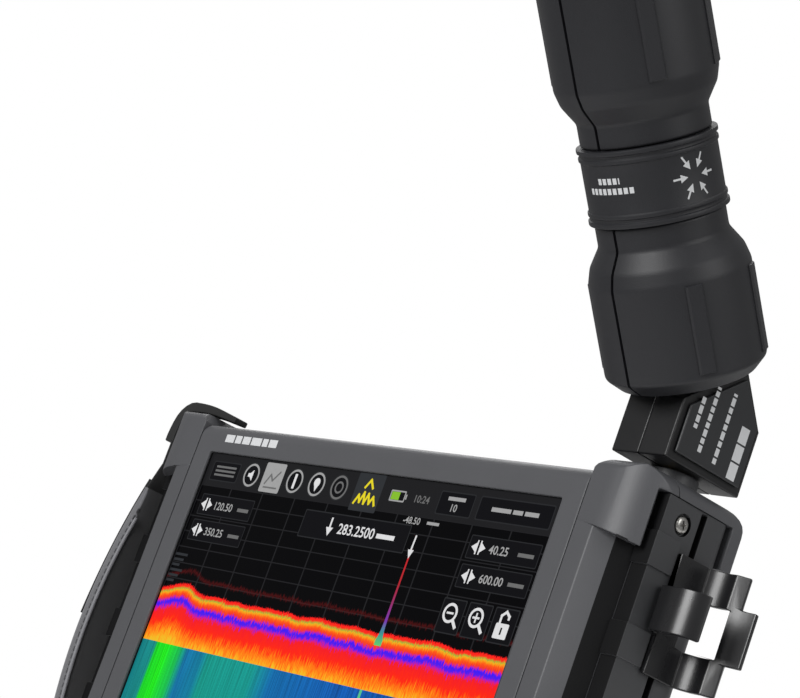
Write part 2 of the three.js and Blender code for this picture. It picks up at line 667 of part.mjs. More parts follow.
// Spring clip that holds a probe's round handle beside the case.
function probeClip() {
  const [topRow, middleRow, bottomRow] = CLIP_ROWS;
  const middleTop = CLIP_TOP - topRow;
  const middleLow = middleTop - middleRow;
  const low = middleLow - bottomRow;
  const base = clipX + CLIP_WALL / 2;
  const plate = block(clipX, clipX + CLIP_WALL, CLIP_BASE_FRONT, CLIP_BASE_FRONT + CLIP_BASE_WIDTH,
    low, CLIP_TOP);
  const root = CLIP_ROD_DEPTH_POS - clipRadius;
  const frontFinger = [
    [base, CLIP_BASE_FRONT + CLIP_BEND],
    [base, root + CLIP_BEND],
    [base + CLIP_BEND / 2, root],
    ...arc(rodX, CLIP_ROD_DEPTH_POS, clipRadius, ...CLIP_FRONT_ARC, 2 * ARC_STEPS),
  ];
  const [lipX, lipRise] = CLIP_LIP;
  const lipY = CLIP_ROD_DEPTH_POS + clipRadius + lipRise;
  const rearFinger = [
    [base, CLIP_ROD_DEPTH_POS],
    [base, CLIP_ROD_DEPTH_POS + CLIP_BEND],
    ...arc(rodX, CLIP_ROD_DEPTH_POS, clipRadius + CLIP_REAR_OUT, ...CLIP_REAR_ARC, 2 * ARC_STEPS),
    [rodX + lipX, lipY],
  ];
  const tab = [
    [rodX + lipX / 2, lipY - CLIP_BEND],
    [rodX + lipX + 1, lipY],
    [rodX + lipX / 2 + CLIP_TAB_LENGTH, lipY + CLIP_BEND / 2],
  ];
  const frontLow = middleLow + CLIP_ROW_GAP;
  return join(
    plate,
    prism(strip(frontFinger, CLIP_WALL), "z", frontLow, middleTop - GAP),
    prism(strip(rearFinger, CLIP_WALL), "z", middleTop, CLIP_TOP),
    prism(strip(rearFinger, CLIP_WALL), "z", low, middleLow),
    prism(strip(tab, CLIP_WALL), "z", middleLow - CLIP_TAB_LAP, middleTop + CLIP_TAB_LAP),
  );
}

function addRails(group) {
  for (const [side, shape] of both(sideRail)) piece(group, `side_rail_${side}`, shape, "dark");
  piece(group, "probe_clip", probeClip(), "dark");
}

// ---- Screen and electronics ---------------------------------------------------------------------
function addScreen(group) {
  const half = SCREEN_WIDTH / 2;
  const panel = (lap, from, depth) =>
    block(-half - lap, half + lap, from, from + depth, -SCREEN_HEIGHT - lap, lap);
  piece(group, "display_glass", panel(GLASS_LAP, 0, GLASS_THICKNESS), "glass");
  const gasketY = GLASS_THICKNESS + GAP;
  const inside = GLASS_LAP - GASKET_WIDTH;
  const hole = block(-half - inside, half + inside, gasketY - 1, gasketY + 3,
    -SCREEN_HEIGHT - inside, inside);
  piece(group, "screen_gasket", cut(panel(GLASS_LAP, gasketY, GASKET_THICKNESS), hole), "rubber");
  const lcdY = gasketY + GASKET_THICKNESS + GAP;
  piece(group, "lcd_panel", panel(LCD_LAP, lcdY, LCD_THICKNESS), "aluminium");
  const chassisY = lcdY + LCD_THICKNESS + GAP;
  const chassis = block(-seamX + WALL, seamX - WALL, chassisY, chassisY + CHASSIS_THICKNESS,
    bottomZ + 2 * WALL, topZ - 2 * WALL);
  const [rimSide, rimTop] = CHASSIS_RIM;
  const relief = block(-half + rimSide, half - rimSide, chassisY - 1, chassisY + CHASSIS_THICKNESS + 1,
    -SCREEN_HEIGHT + rimTop, -rimTop);
  piece(group, "chassis_plate", cut(chassis, relief), "aluminium");
  const boardY = PARTING_DEPTH + BOARD_SETBACK;
  const board = block(-half, half, boardY, boardY + BOARD_THICKNESS, -SCREEN_HEIGHT + BOARD_INSET, 0);
  piece(group, "main_board", board, "board");
  const canY = boardY + BOARD_THICKNESS + GAP;
  const canBack = canY + SHIELD_DEPTH;
  const w = SHIELD_WALL;
  const can = block(SHIELD_X, half - SHIELD_X, canY, canBack, SHIELD_LOW, SHIELD_TOP);
  const canRoom = block(SHIELD_X + w, half - SHIELD_X - w, canY - 1, canBack - w, SHIELD_LOW + w,
    SHIELD_TOP - w);
  const jack = bar("y", [half - JACK_INSET, JACK_Z], JACK_RADIUS, canBack - 2 * w, canBack + 1, 16);
  piece(group, "rf_shield", cut(can, canRoom, jack), "aluminium");
  const speaker = bar("y", [-SPEAKER_X, SPEAKER_Z], SPEAKER_RADIUS,
    CASE_DEPTH - WALL - GAP - SPEAKER_DEPTH, CASE_DEPTH - WALL - GAP, 24);
  piece(group, "speaker", speaker, "dark");
  const leadPath = new THREE.CatmullRomCurve3([
    new THREE.Vector3(antennaX, ANTENNA_DEPTH_POS, topZ - 0.5),
    new THREE.Vector3(antennaX, ANTENNA_DEPTH_POS + 1, topZ - 13),
    new THREE.Vector3(antennaX - 12, ANTENNA_DEPTH_POS + 8, JACK_Z + 8),
    new THREE.Vector3(half + 8, canBack + 1, JACK_Z),
    new THREE.Vector3(half - JACK_INSET + 1, canBack + 3, JACK_Z),
  ]);
  const ring = Array.from({ length: 8 }, (_, i) => {
    const turn = (i * Math.PI) / 4;
    return new THREE.Vector2(LEAD_RADIUS * Math.cos(turn), LEAD_RADIUS * Math.sin(turn));
  });
  const lead = new THREE.ExtrudeGeometry(new THREE.Shape(ring), { steps: 24, extrudePath: leadPath });
  piece(group, "antenna_lead", lead, "rubber");
}

// ---- Power key, ports and their cover -----------------------------------------------------------
function addControls(group) {
  const plate = frontY + BEZEL_PLATE;
  const cap = bar("y", [BUTTON_X, keyZ], BUTTON_RADIUS, frontY - BUTTON_PROUD, plate + 1);
  const flange = bar("y", [BUTTON_X, keyZ], BUTTON_RADIUS + BUTTON_FLANGE, plate + GAP, plate + 1.8);
  piece(group, "power_button", join(cap, flange), "dark");
  const lens = bar("y", [STATUS_X, keyZ], STATUS_RADIUS, frontY - 0.1, plate, 16);
  piece(group, "status_lens", lens, "white");
}

// Outlines of the three sockets in the top edge, each grown by a margin.
function portOutlines(margin) {
  const [w, d] = USB_SIZE;
  const y = PORT_DEPTH_POS;
  return [
    (from, to) => block(USB_X - w / 2 - margin, USB_X + w / 2 + margin, y - d / 2 - margin,
      y + d / 2 + margin, from, to),
    (from, to) => bar("z", [AUDIO_X, y], AUDIO_RADIUS + margin, from, to, 20),
    (from, to) => bar("z", [DC_X, y], DC_RADIUS + margin, from, to, 20),
  ];
}

const coverHingeY = PORT_DEPTH_POS + PORT_COVER_SIZE[1] / 2;
const coverHingeZ = topZ + GAP + PORT_COVER_SIZE[2] / 2;

function addPorts(group) {
  const [usb, audio, dc] = portOutlines(0);
  const low = topZ - PORT_HEIGHT;
  const high = topZ - GAP;
  const y = PORT_DEPTH_POS;
  const floor = low + SOCKET_FLOOR;
  const [mw, md] = USB_MOUTH;
  const mouth = block(USB_X - mw / 2, USB_X + mw / 2, y - md / 2, y + md / 2, floor, topZ);
  piece(group, "usb_socket", cut(usb(low, high), mouth), "steel");
  const ring = cut(audio(low, high), bar("z", [AUDIO_X, y], AUDIO_BORE, floor, topZ, 16));
  piece(group, "audio_socket", ring, "dark");
  const barrel = cut(dc(low, high), bar("z", [DC_X, y], DC_BORE, floor, topZ, 20));
  const pin = bar("z", [DC_X, y], DC_PIN, low + 1, high - 1, 12);
  piece(group, "power_socket", join(barrel, pin), "dark");
  const [w, d, t] = PORT_COVER_SIZE;
  const slab = block(PORT_COVER_X - w / 2, PORT_COVER_X + w / 2, y - d / 2, coverHingeY, topZ + GAP,
    topZ + GAP + t);
  const edge = bar("x", [coverHingeY, coverHingeZ], t / 2, PORT_COVER_X - w / 2,
    PORT_COVER_X + w / 2, 12);
  piece(group, "port_cover", join(slab, edge), "rubber");
}

// ---- Battery ------------------------------------------------------------------------------------
function addBattery(group) {
  const w = BATTERY_WALL;
  const half = BATTERY_HALF_WIDTH;
  const outer = block(-half, half, batteryFront, bulgeY, batteryLow, BATTERY_TOP);
  const room = block(-half + w, half - w, batteryFront - 1, bulgeY - w, batteryLow + w,
    BATTERY_TOP - w);
  const pull = bar("x", [bulgeY + 4, (BATTERY_TOP + batteryLow) / 2], 5, -12, 12);
  piece(group, "battery_case", cut(outer, room, pull), "dark");
  const middle = (BATTERY_TOP + batteryLow) / 2;
  const cellY = bulgeY - w - GAP - CELL_RADIUS;
  [-1, 0, 1].forEach((place, i) => {
    const cell = bar("z", [place * CELL_PITCH, cellY], CELL_RADIUS, middle - CELL_LENGTH / 2,
      middle + CELL_LENGTH / 2);
    piece(group, `battery_cell_${i + 1}`, cell, "aluminium");
  });
  const [lw, lt, lh] = LATCH_SIZE;
  const latchZ = BATTERY_TOP + LATCH_ABOVE;
  const latch = block(-lw / 2, lw / 2, bulgeY + GAP, bulgeY + GAP + lt, latchZ, latchZ + lh);
  const grooves = [2, 4.5, 7].map((up) =>
    block(-lw / 2 - 1, lw / 2 + 1, bulgeY + GAP + lt - 0.6, bulgeY + 5, latchZ + up - 0.5,
      latchZ + up + 0.5));
  piece(group, "battery_latch", cut(latch, ...grooves), "dark");
}

// ---- Rear stand ---------------------------------------------------------------------------------
// Drawn in its own frame: the hinge at the origin and the leg down local -Z.
function addStand(group) {
  const hingeRise = -hingeY * Math.sin(LEAN) + STAND_HINGE_HEIGHT * Math.cos(LEAN) - restHeight;
  const half = STAND_LEG_THICKNESS / 2;
  const tableAt = (y, above) =>
    (above - hingeRise - y * Math.sin(STAND_SPLAY)) / Math.cos(STAND_SPLAY);
  const barTop = tableAt(0, STAND_PAD_THICKNESS + GAP) + STAND_BAR_HEIGHT;
  const legOutline = [
    ...arc(0, 0, half, 0, 180, 2 * ARC_STEPS),
    [-half, barTop - 1],
    [half, barTop - 1],
  ];
  const eye = bar("x", [0, 0], STAND_PIN_RADIUS + GAP, -lugOuter, lugOuter);
  const legs = [[legInner, legOuter], [-legOuter, -legInner]].map(([from, to]) =>
    cut(prism(legOutline, "x", from, to), eye));
  const under = STAND_PAD_THICKNESS + GAP;
  const crossbar = [
    [-half, barTop],
    [half, barTop],
    [half, tableAt(half, under)],
    [-half, tableAt(-half, under)],
  ];
  const padOutline = [
    [-half, tableAt(-half, STAND_PAD_THICKNESS)],
    [half, tableAt(half, STAND_PAD_THICKNESS)],
    [half, tableAt(half, 0)],
    [-half, tableAt(-half, 0)],
  ];
  const stand = new THREE.Group();
  piece(stand, "kickstand", join(prism(crossbar, "x", -legOuter, legOuter), ...legs), "dark");
  piece(stand, "stand_foot_pad", prism(padOutline, "x", -legOuter + 1, legOuter - 1), "rubber");
  stand.position.set(0, hingeY, STAND_HINGE_HEIGHT);
  stand.rotation.x = STAND_SPLAY + LEAN;
  group.add(stand);
  const pin = bar("x", [hingeY, STAND_HINGE_HEIGHT], STAND_PIN_RADIUS, BULGE_HALF_WIDTH + GAP,
    lugOuter + 1);
  piece(group, "stand_pin_right", pin, "steel");
  piece(group, "stand_pin_left", mirrored(pin), "steel");
}

// ---- Hand strap on the left side ----------------------------------------------------------------
function addStrap(group) {
  const lineX = -(sideX + STRAP_OFFSET);
  const lowZ = bottomZ + STRAP_LOW_INSET + ANCHOR_HEIGHT;
  const halfSpan = (STRAP_TOP - lowZ) / 2;
  const radius = (halfSpan ** 2 + STRAP_BOW ** 2) / (2 * STRAP_BOW);
  const centreX = lineX + radius - STRAP_BOW;
  const centreZ = STRAP_TOP - halfSpan;
  const spread = THREE.MathUtils.radToDeg(Math.asin(halfSpan / radius));
  const back = STRAP_FRONT + STRAP_WIDTH;
  const bow = arc(centreX, centreZ, radius, 180 - spread, 180 + spread, 24);
  const webbing = strip([[lineX, STRAP_TOP + ANCHOR_HEIGHT], ...bow, [lineX, lowZ - ANCHOR_HEIGHT]],
    WEBBING_THICKNESS);
  const plateX = lineX - WEBBING_THICKNESS / 2 - GAP;
  const rail = -(sideX + TOOTH_PROUD + GAP);
  const studs = (radius, low, from, to) => [STRAP_FRONT + STUD_INSET, back - STUD_INSET].map((y) =>
    bar("x", [y, low + ANCHOR_HEIGHT / 2], radius, from, to, 16));
  const ends = [["upper", STRAP_TOP], ["lower", lowZ - ANCHOR_HEIGHT]];
  const holes = ends.flatMap(([, low]) =>
    studs(STUD_RADIUS + GAP, low, lineX - WEBBING_THICKNESS, lineX + WEBBING_THICKNESS));
  const band = cut(prism(webbing, "y", STRAP_FRONT, back), ...holes);
  piece(group, "strap_webbing", band, "webbing");
  for (const [name, low] of ends) {
    const plate = block(plateX - ANCHOR_THICKNESS, plateX, STRAP_FRONT + ANCHOR_INSET,
      back - ANCHOR_INSET, low, low + ANCHOR_HEIGHT);
    const anchor = join(plate, ...studs(STUD_RADIUS, low, plateX - 1, rail));
    piece(group, `strap_anchor_${name}`, anchor, "dark");
  }
  const padRadius = radius - WEBBING_THICKNESS / 2 - GAP - PAD_THICKNESS / 2;
  const padAngle = THREE.MathUtils.radToDeg(PAD_HALF_ANGLE);
  const pad = strip(arc(centreX, centreZ, padRadius, 180 - padAngle, 180 + padAngle, 20),
    PAD_THICKNESS);
  piece(group, "strap_pad", prism(pad, "y", STRAP_FRONT - PAD_OVERHANG, back + PAD_OVERHANG), "fabric");
  const tabRadius = radius + WEBBING_THICKNESS / 2 + GAP + TAB_THICKNESS / 2;
  const tabSteps = 12;
  const tabPath = arc(0, 0, 1, 180 - padAngle, 180 - padAngle / 6, tabSteps).map(([x, z], i) => {
    const reach = tabRadius + TAB_LIFT * (1 - i / tabSteps) ** 2;
    return [centreX + x * reach, centreZ + z * reach];
  });
  const tab = prism(strip(tabPath, TAB_THICKNESS), "y", STRAP_FRONT + 1, back - 1);
  piece(group, "strap_tab", tab, "webbing");
  const tailTop = STRAP_TOP + ANCHOR_HEIGHT + GAP;
  const over = topZ + GUARD_RISE;
  const tailX = -(sideX + GAP + TAIL_THICKNESS / 2);
  const tailPath = smooth([
    [tailX, tailTop],
    [tailX, over - GRIP_ROUND],
    [tailX + 2, over - 1],
    [tailX + 7, over + 3],
    [tailX + 14, over + 3.4],
    [-seamX - GUARD_LEAN_IN - 3, over + 2.7],
    [-seamX + TAIL_REACH, over - 0.5],
  ], 20);
  piece(group, "strap_tail", prism(strip(tailPath, TAIL_THICKNESS, TAIL_END_THICKNESS), "y", TAIL_FRONT,
    TAIL_FRONT + TAIL_WIDTH), "webbing");
}

// ---- Antenna ------------------------------------------------------------------------------------
const elbowZ = topZ + ELBOW_LIFT;
const elbowFront = ANTENNA_DEPTH_POS - ELBOW_LENGTH / 2;
const elbowBack = ANTENNA_DEPTH_POS + ELBOW_LENGTH / 2;

// Side view of the elbow: square at the bottom, its top face square to the leaning mast.
function elbowOutline(margin) {
  const along = [-Math.sin(ANTENNA_TILT), Math.cos(ANTENNA_TILT)];
  const across = [Math.cos(ANTENNA_TILT), Math.sin(ANTENNA_TILT)];
  const back = [elbowBack - margin, elbowZ + ELBOW_BACK_HEIGHT];
  const reach = BULB_START - COLLAR_LENGTH - GAP - margin;
  const top = [ANTENNA_DEPTH_POS + along[0] * reach, elbowZ + MAST_BASE + along[1] * reach];
  const toTop = (top[0] - back[0]) * along[0] + (top[1] - back[1]) * along[1];
  const rearTop = [back[0] + along[0] * toTop, back[1] + along[1] * toTop];
  const run = (elbowFront + margin - rearTop[0]) / across[0];
  return [
    [elbowFront + margin, elbowZ + margin],
    [elbowBack - margin, elbowZ + margin],
    back,
    rearTop,
    [elbowFront + margin, rearTop[1] + across[1] * run],
  ];
}

function elbowHalf(sign) {
  const half = ELBOW_WIDTH / 2;
  const [from, to] = sign > 0 ? [GAP / 2, half] : [-half, -GAP / 2];
  const [inFrom, inTo] = sign > 0 ? [-1, half - ELBOW_WALL] : [-half + ELBOW_WALL, 1];
  return cut(
    prism(elbowOutline(0), "x", from, to),
    prism(elbowOutline(ELBOW_WALL), "x", inFrom, inTo),
  );
}

// Profile of a bulb as radius and height pairs: a taper, a bevel, a shoulder and a neck.
function bulbProfile(length, inset, domed) {
  const wide = BULB_RADIUS - inset;
  const waist = wide - BULB_TAPER;
  const bevel = waist - BEVEL_DROP;
  const neck = NECK_RADIUS - inset;
  const necked = (from, way) => [
    [waist, from + way * (NECK_LENGTH + SHOULDER_LENGTH + BEVEL_LENGTH)],
    [bevel, from + way * (NECK_LENGTH + SHOULDER_LENGTH)],
    [neck, from + way * NECK_LENGTH],
    [neck, from],
  ];
  if (!domed) return [[wide - BULB_CHAMFER, 0], [wide, BULB_CHAMFER], ...necked(length, -1)];
  const crown = arc(0, 0, 1, 0, 80, 2 * ARC_STEPS).map(([x, y]) =>
    [waist * (0.25 + 0.75 * x), length - CROWN_LENGTH + (CROWN_LENGTH - inset) * y]);
  return [...necked(0, 1).reverse(), ...crown];
}

function bulb(length, domed) {
  const outline = (inset, end) => {
    const profile = bulbProfile(length, inset, domed);
    const first = profile[0];
    const last = profile[profile.length - 1];
    const low = first[1] - (domed ? end : 0);
    const high = last[1] + (domed ? 0 : end);
    const closed = [[0, low], [first[0], low], ...profile, [last[0], high], [0, high]];
    return lathe(closed).rotateZ(Math.PI / LATHE_STEPS);
  };
  const core = bar("z", [0, 0], CORE_RADIUS + GAP, -5, length + 5, LATHE_STEPS);
  core.rotateZ(Math.PI / LATHE_STEPS);
  const ribs = RIB_ANGLES.flatMap((angle) => [angle, -angle]).map((angle) => {
    const shoulder = NECK_LENGTH + SHOULDER_LENGTH + BEVEL_LENGTH + 1;
    const start = domed ? shoulder : BULB_CHAMFER + 2;
    const end = domed ? length - CROWN_LENGTH - 6 : length - shoulder;
    const rib = block(-RIB_WIDTH / 2, RIB_WIDTH / 2, -BULB_RADIUS - RIB_PROUD, -BULB_RADIUS + 1.5,
      start, end);
    return rib.rotateZ(THREE.MathUtils.degToRad(angle));
  });
  return cut(join(outline(0, 0), ...ribs), outline(BULB_WALL, 1), core);
}

function addBulb(mast, name, start, length, domed) {
  const whole = bulb(length, domed);
  const size = BULB_RADIUS * 2;
  const sides = [["right", GAP / 2, size], ["left", -size, -GAP / 2]];
  for (const [side, from, to] of sides) {
    const half = common(whole, block(from, to, -size, size, -10, length + 10));
    const mesh = piece(mast, `${name}_${side}`, half, "antenna");
    mesh.position.z = start;
  }
}

function addAntenna(group) {
  const cupLow = topZ + GAP;
  const cup = bar("z", [antennaX, ANTENNA_DEPTH_POS], RECEPTACLE_RADIUS, cupLow,
    cupLow + RECEPTACLE_HEIGHT, 32);
  const bore = bar("z", [antennaX, ANTENNA_DEPTH_POS], PLUG_RADIUS + PLUG_CLEARANCE, cupLow + 1.5,
    elbowZ, 32);
  piece(group, "antenna_receptacle", cut(cup, bore), "dark");

  const antenna = new THREE.Group();
  antenna.position.set(antennaX, 0, 0);
  const plug = bar("z", [0, ANTENNA_DEPTH_POS], PLUG_RADIUS, cupLow + 2, elbowZ - GAP, 32);
  piece(antenna, "antenna_plug", plug, "brass");
  piece(antenna, "elbow_shell_right", elbowHalf(1), "antenna");
  piece(antenna, "elbow_shell_left", elbowHalf(-1), "antenna");
  const face = ELBOW_WIDTH / 2 + GAP;
  const label = prism(elbowOutline(LABEL_MARGIN), "x", face, face + LABEL_THICKNESS);
  piece(antenna, "elbow_label_plate", label, "label");

  const mast = new THREE.Group();
  mast.position.set(0, ANTENNA_DEPTH_POS, elbowZ + MAST_BASE);
  mast.rotation.x = ANTENNA_TILT;
  const lowerTop = BULB_START + LOWER_BULB_LENGTH;
  const bandStart = lowerTop + GAP;
  const upperStart = bandStart + BAND_LENGTH + GAP;
  const coreLow = BULB_START - COLLAR_LENGTH;
  const coreHigh = upperStart + UPPER_BULB_LENGTH - 30;
  const collarRing = cut(bar("z", [0, 0], COLLAR_RADIUS, coreLow, BULB_START - GAP, 32),
    bar("z", [0, 0], CORE_RADIUS + GAP, coreLow - 1, BULB_START, 24));
  piece(mast, "antenna_collar", collarRing, "antenna");
  piece(mast, "antenna_core", bar("z", [0, 0], CORE_RADIUS, coreLow, coreHigh), "white");
  addBulb(mast, "lower_bulb", BULB_START, LOWER_BULB_LENGTH, false);
  const inside = BAND_RADIUS - WALL;
  const bandProfile = [
    [inside, 0],
    [LIP_RADIUS, 0],
    [LIP_RADIUS, LIP_LENGTH],
    [BAND_RADIUS, LIP_LENGTH],
    [BAND_RADIUS, BAND_LENGTH - LIP_LENGTH],
    [LIP_RADIUS, BAND_LENGTH - LIP_LENGTH],
    [LIP_RADIUS, BAND_LENGTH],
    [inside, BAND_LENGTH],
    [inside, 0],
  ];
  piece(mast, "neck_band", lathe(bandProfile), "antenna").position.z = bandStart;
  addBulb(mast, "upper_bulb", upperStart, UPPER_BULB_LENGTH, true);
  antenna.add(mast);
  group.add(antenna);
}

// ---- Assembly -----------------------------------------------------------------------------------
const leaning = new THREE.Group();
leaning.rotation.x = -LEAN;
addCase(leaning);
addRails(leaning);
addScrews(leaning);
addScreen(leaning);
addControls(leaning);
addPorts(leaning);
addBattery(leaning);
addStand(leaning);
addStrap(leaning);
addAntenna(leaning);

const analyser = new THREE.Group();
analyser.add(leaning);
analyser.updateMatrixWorld(true);
const limits = new THREE.Box3().setFromObject(analyser, true);
const middle = limits.getCenter(new THREE.Vector3());
leaning.position.set(-middle.x, -middle.y, -limits.min.z);

export default analyser;
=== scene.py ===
"""Looks of a portable spectrum analyser with a plug-in antenna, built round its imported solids."""

import math
from contextlib import contextmanager
from operator import attrgetter

import bmesh
import bpy
from bpy.props import FloatProperty, FloatVectorProperty, IntProperty, PointerProperty
from mathutils import Matrix, Vector


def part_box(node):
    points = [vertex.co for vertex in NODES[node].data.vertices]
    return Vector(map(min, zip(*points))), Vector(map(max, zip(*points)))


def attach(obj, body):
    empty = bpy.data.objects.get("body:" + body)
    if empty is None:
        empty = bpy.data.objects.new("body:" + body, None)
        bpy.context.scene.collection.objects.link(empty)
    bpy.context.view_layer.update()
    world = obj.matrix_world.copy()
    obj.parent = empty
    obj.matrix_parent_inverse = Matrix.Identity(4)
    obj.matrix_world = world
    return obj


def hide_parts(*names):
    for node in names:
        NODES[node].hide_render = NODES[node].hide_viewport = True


bl_info = {
    "name": "Portable spectrum analyser",
    "version": (1, 0, 0),
    "blender": (4, 5, 0),
    "location": "View3D > Sidebar > Analyser",
    "description": "Builds a portable spectrum analyser with antenna, probe clip and hand strap",
    "category": "Add Mesh",
}

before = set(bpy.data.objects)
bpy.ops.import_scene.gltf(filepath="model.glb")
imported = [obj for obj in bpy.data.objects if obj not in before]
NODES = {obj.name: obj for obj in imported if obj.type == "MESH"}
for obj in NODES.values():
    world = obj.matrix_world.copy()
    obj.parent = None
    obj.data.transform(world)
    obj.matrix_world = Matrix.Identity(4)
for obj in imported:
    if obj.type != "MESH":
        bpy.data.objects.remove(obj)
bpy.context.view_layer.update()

# ---- Places that the pieces share, in millimetres ----------------------------------------------
LEAN = math.radians(25.7)
GLASS_LAP = 4.0
SCREEN_WIDTH = 217.0
SCREEN_HEIGHT = 135.6
BEZEL_BORDER = 10.5
GRIP_WIDTH = 29.0
SIDE_X = SCREEN_WIDTH / 2 + BEZEL_BORDER + GRIP_WIDTH
TOP_Z = 13.0
ANTENNA_X = SIDE_X - 18.1
ANTENNA_Y = 26.6
MAST_Z = TOP_Z + 32.6
MAST_TILT = math.radians(40)


def case_frame():
    """The case's own frame: X right, Y back, Z up the screen, from the screen's top edge."""
    upright = Matrix.Rotation(LEAN, 3, "X")
    points = [upright @ v.co for v in NODES["display_glass"].data.vertices]
    xs = [p.x for p in points]
    corner = Vector(((min(xs) + max(xs)) / 2, min(p.y for p in points),
                     max(p.z for p in points) - GLASS_LAP / 1000))
    lean = Matrix.Rotation(-LEAN, 4, "X")
    return Matrix.Translation(lean @ corner) @ lean @ Matrix.Scale(0.001, 4)


CASE = case_frame()
CASE_TURN = CASE.to_3x3().normalized()
MAST = (CASE @ Matrix.Translation((ANTENNA_X, ANTENNA_Y, MAST_Z))
        @ Matrix.Rotation(MAST_TILT, 4, "X"))
MAST_TURN = MAST.to_3x3().normalized()
UNPLACED = Matrix.Identity(4)


# ---- Sizes and colours that a user would change ------------------------------------------------
def colour_property(name, description, default):
    return FloatVectorProperty(name=name, description=description, default=default,
                               subtype="COLOR", size=3, min=0, max=1)


def size_property(name, description, default):
    return FloatProperty(name=name, description=description, default=default,
                         subtype="DISTANCE", unit="LENGTH", min=0)


def power_property(name, description, default):
    return FloatProperty(name=name, description=description, default=default,
                         subtype="POWER", unit="POWER", min=0)


class AnalyserCaseProperties(bpy.types.PropertyGroup):
    """Colours and edges of the case."""

    shell_colour: colour_property("Shell", "Moulded colour of the bezel and the rear shell",
                                  (0.078, 0.079, 0.085))
    guard_colour: colour_property("Guards", "Moulded colour of the grips and the corner guards",
                                  (0.074, 0.075, 0.081))
    dark_colour: colour_property("Dark parts", "Colour of the rails and the stand",
                                 (0.042, 0.043, 0.046))
    edge_round: size_property("Edge radius", "Radius of the case's moulded edges", 0.0009)
    grain_size: FloatProperty(name="Grain", description="How fine the moulded grain is, per metre",
                              default=2600, min=100)


class AnalyserScreenProperties(bpy.types.PropertyGroup):
    """Picture on the display."""

    brightness: FloatProperty(name="Brightness", description="Strength of the display's light",
                              default=1.0, min=0)
    divisions: IntProperty(name="Divisions", description="Grid divisions across the trace",
                           default=10, min=1)
    peak_place: size_property("Peak", "Place of the signal's peak from the screen's left edge",
                              0.145)


class AnalyserAntennaProperties(bpy.types.PropertyGroup):
    """Sizes and colour of the antenna."""

    colour: colour_property("Colour", "Moulded colour of the antenna", (0.0118, 0.0121, 0.0148))
    bulb_radius: size_property("Bulb radius", "Outer radius of the bulbs", 0.0295)
    rib_width: size_property("Rib width", "Width of the raised ribs", 0.0064)
    seam_width: size_property("Seam", "Width of the parting seam", 0.0013)


class AnalyserStrapProperties(bpy.types.PropertyGroup):
    """Colours and sizes of the hand strap."""

    webbing_colour: colour_property("Webbing", "Colour of the woven webbing",
                                    (0.012, 0.012, 0.013))
    pad_colour: colour_property("Pad", "Colour of the padded sleeve", (0.030, 0.030, 0.032))
    stitch_pitch: size_property("Stitch pitch", "Distance from stitch to stitch", 0.0034)


class AnalyserStageProperties(bpy.types.PropertyGroup):
    """Floor, light and camera."""

    floor_colour: colour_property("Floor", "Colour of the plain floor", (0.93, 0.93, 0.93))
    floor_radius: size_property("Floor", "Radius of the plain floor", 0.45)
    key_power: power_property("Key light", "Power of the main soft light", 25)
    fill_power: power_property("Fill light", "Power of the light on the right", 4)
    lens: FloatProperty(name="Lens", description="Focal length of the camera", default=115.38,
                        subtype="DISTANCE_CAMERA", unit="CAMERA", min=1)


def settings():
    return bpy.context.scene.analyser


# ---- Mesh helpers ------------------------------------------------------------------------------
def linked(name, data):
    """A new object in the scene."""
    made = bpy.data.objects.new(name, data)
    bpy.context.scene.collection.objects.link(made)
    return made


def finished(name, mesh, body, materials, replaced=()):
    """Links a mesh as a piece of the object: it rides on a body and stands for CAD nodes."""
    piece = linked(name, mesh)
    for material in materials:
        mesh.materials.append(material)
    if replaced:
        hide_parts(*replaced)
    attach(piece, body)
    return piece


@contextmanager
def editing(mesh, source=None):
    """A mesh opened for edits, from its own faces or from those of a source."""
    bm = bmesh.new()
    bm.from_mesh(source or mesh)
    yield bm
    bm.to_mesh(mesh)
    bm.free()


def sharpen(bm, degrees):
    """Smooth faces, with the edges that turn further than the limit left sharp."""
    limit = math.radians(degrees)
    for face in bm.faces:
        face.smooth = True
    for edge in bm.edges:
        edge.smooth = len(edge.link_faces) == 2 and edge.calc_face_angle(0) < limit


def taken(holder):
    """The mesh of an object after its modifiers, in place of the object."""
    graph = bpy.context.evaluated_depsgraph_get()
    mesh = bpy.data.meshes.new_from_object(holder.evaluated_get(graph))
    bpy.data.objects.remove(holder)
    return mesh


def evaluated(source, kind, **values):
    """A mesh after one modifier."""
    holder = linked("holder", source)
    modifier = holder.modifiers.new(kind, kind)
    for key, value in values.items():
        setattr(modifier, key, value)
    return taken(holder)


def crisp(mesh, sharp):
    """Smooth shading that leaves the large flat faces flat."""
    with editing(mesh) as bm:
        sharpen(bm, sharp)
    return evaluated(mesh, "WEIGHTED_NORMAL", keep_sharp=True)


def softened(node, width, segments=2, sharp=38):
    """A copy of a CAD node's mesh with its hard edges rounded."""
    mesh = bpy.data.meshes.new(node)
    with editing(mesh, NODES[node].data) as bm:
        bmesh.ops.remove_doubles(bm, verts=bm.verts, dist=2e-6)
        bmesh.ops.dissolve_limit(bm, angle_limit=math.radians(0.6), verts=bm.verts, edges=bm.edges)
    mesh = crisp(evaluated(mesh, "BEVEL", width=width, segments=segments, limit_method="ANGLE",
                           angle_limit=math.radians(30), use_clamp_overlap=False, profile=0.55,
                           miter_outer="MITER_ARC"), sharp)
    mesh.materials.clear()
    return mesh


def round_node(node, body, slot, finish, width, **more):
    return finished(node + "_body", softened(node, width, **more), body,
                    [moulded(finish)], [node])


def repaint(piece, finish, test):
    """Gives another finish to the faces picked by their middle and normal in the case's frame."""
    piece.data.materials.append(moulded(finish))
    back = CASE.inverted()
    turn = back.to_3x3().normalized()
    for face in piece.data.polygons:
        if test(back @ face.center, turn @ face.normal):
            face.material_index = len(piece.data.materials) - 1


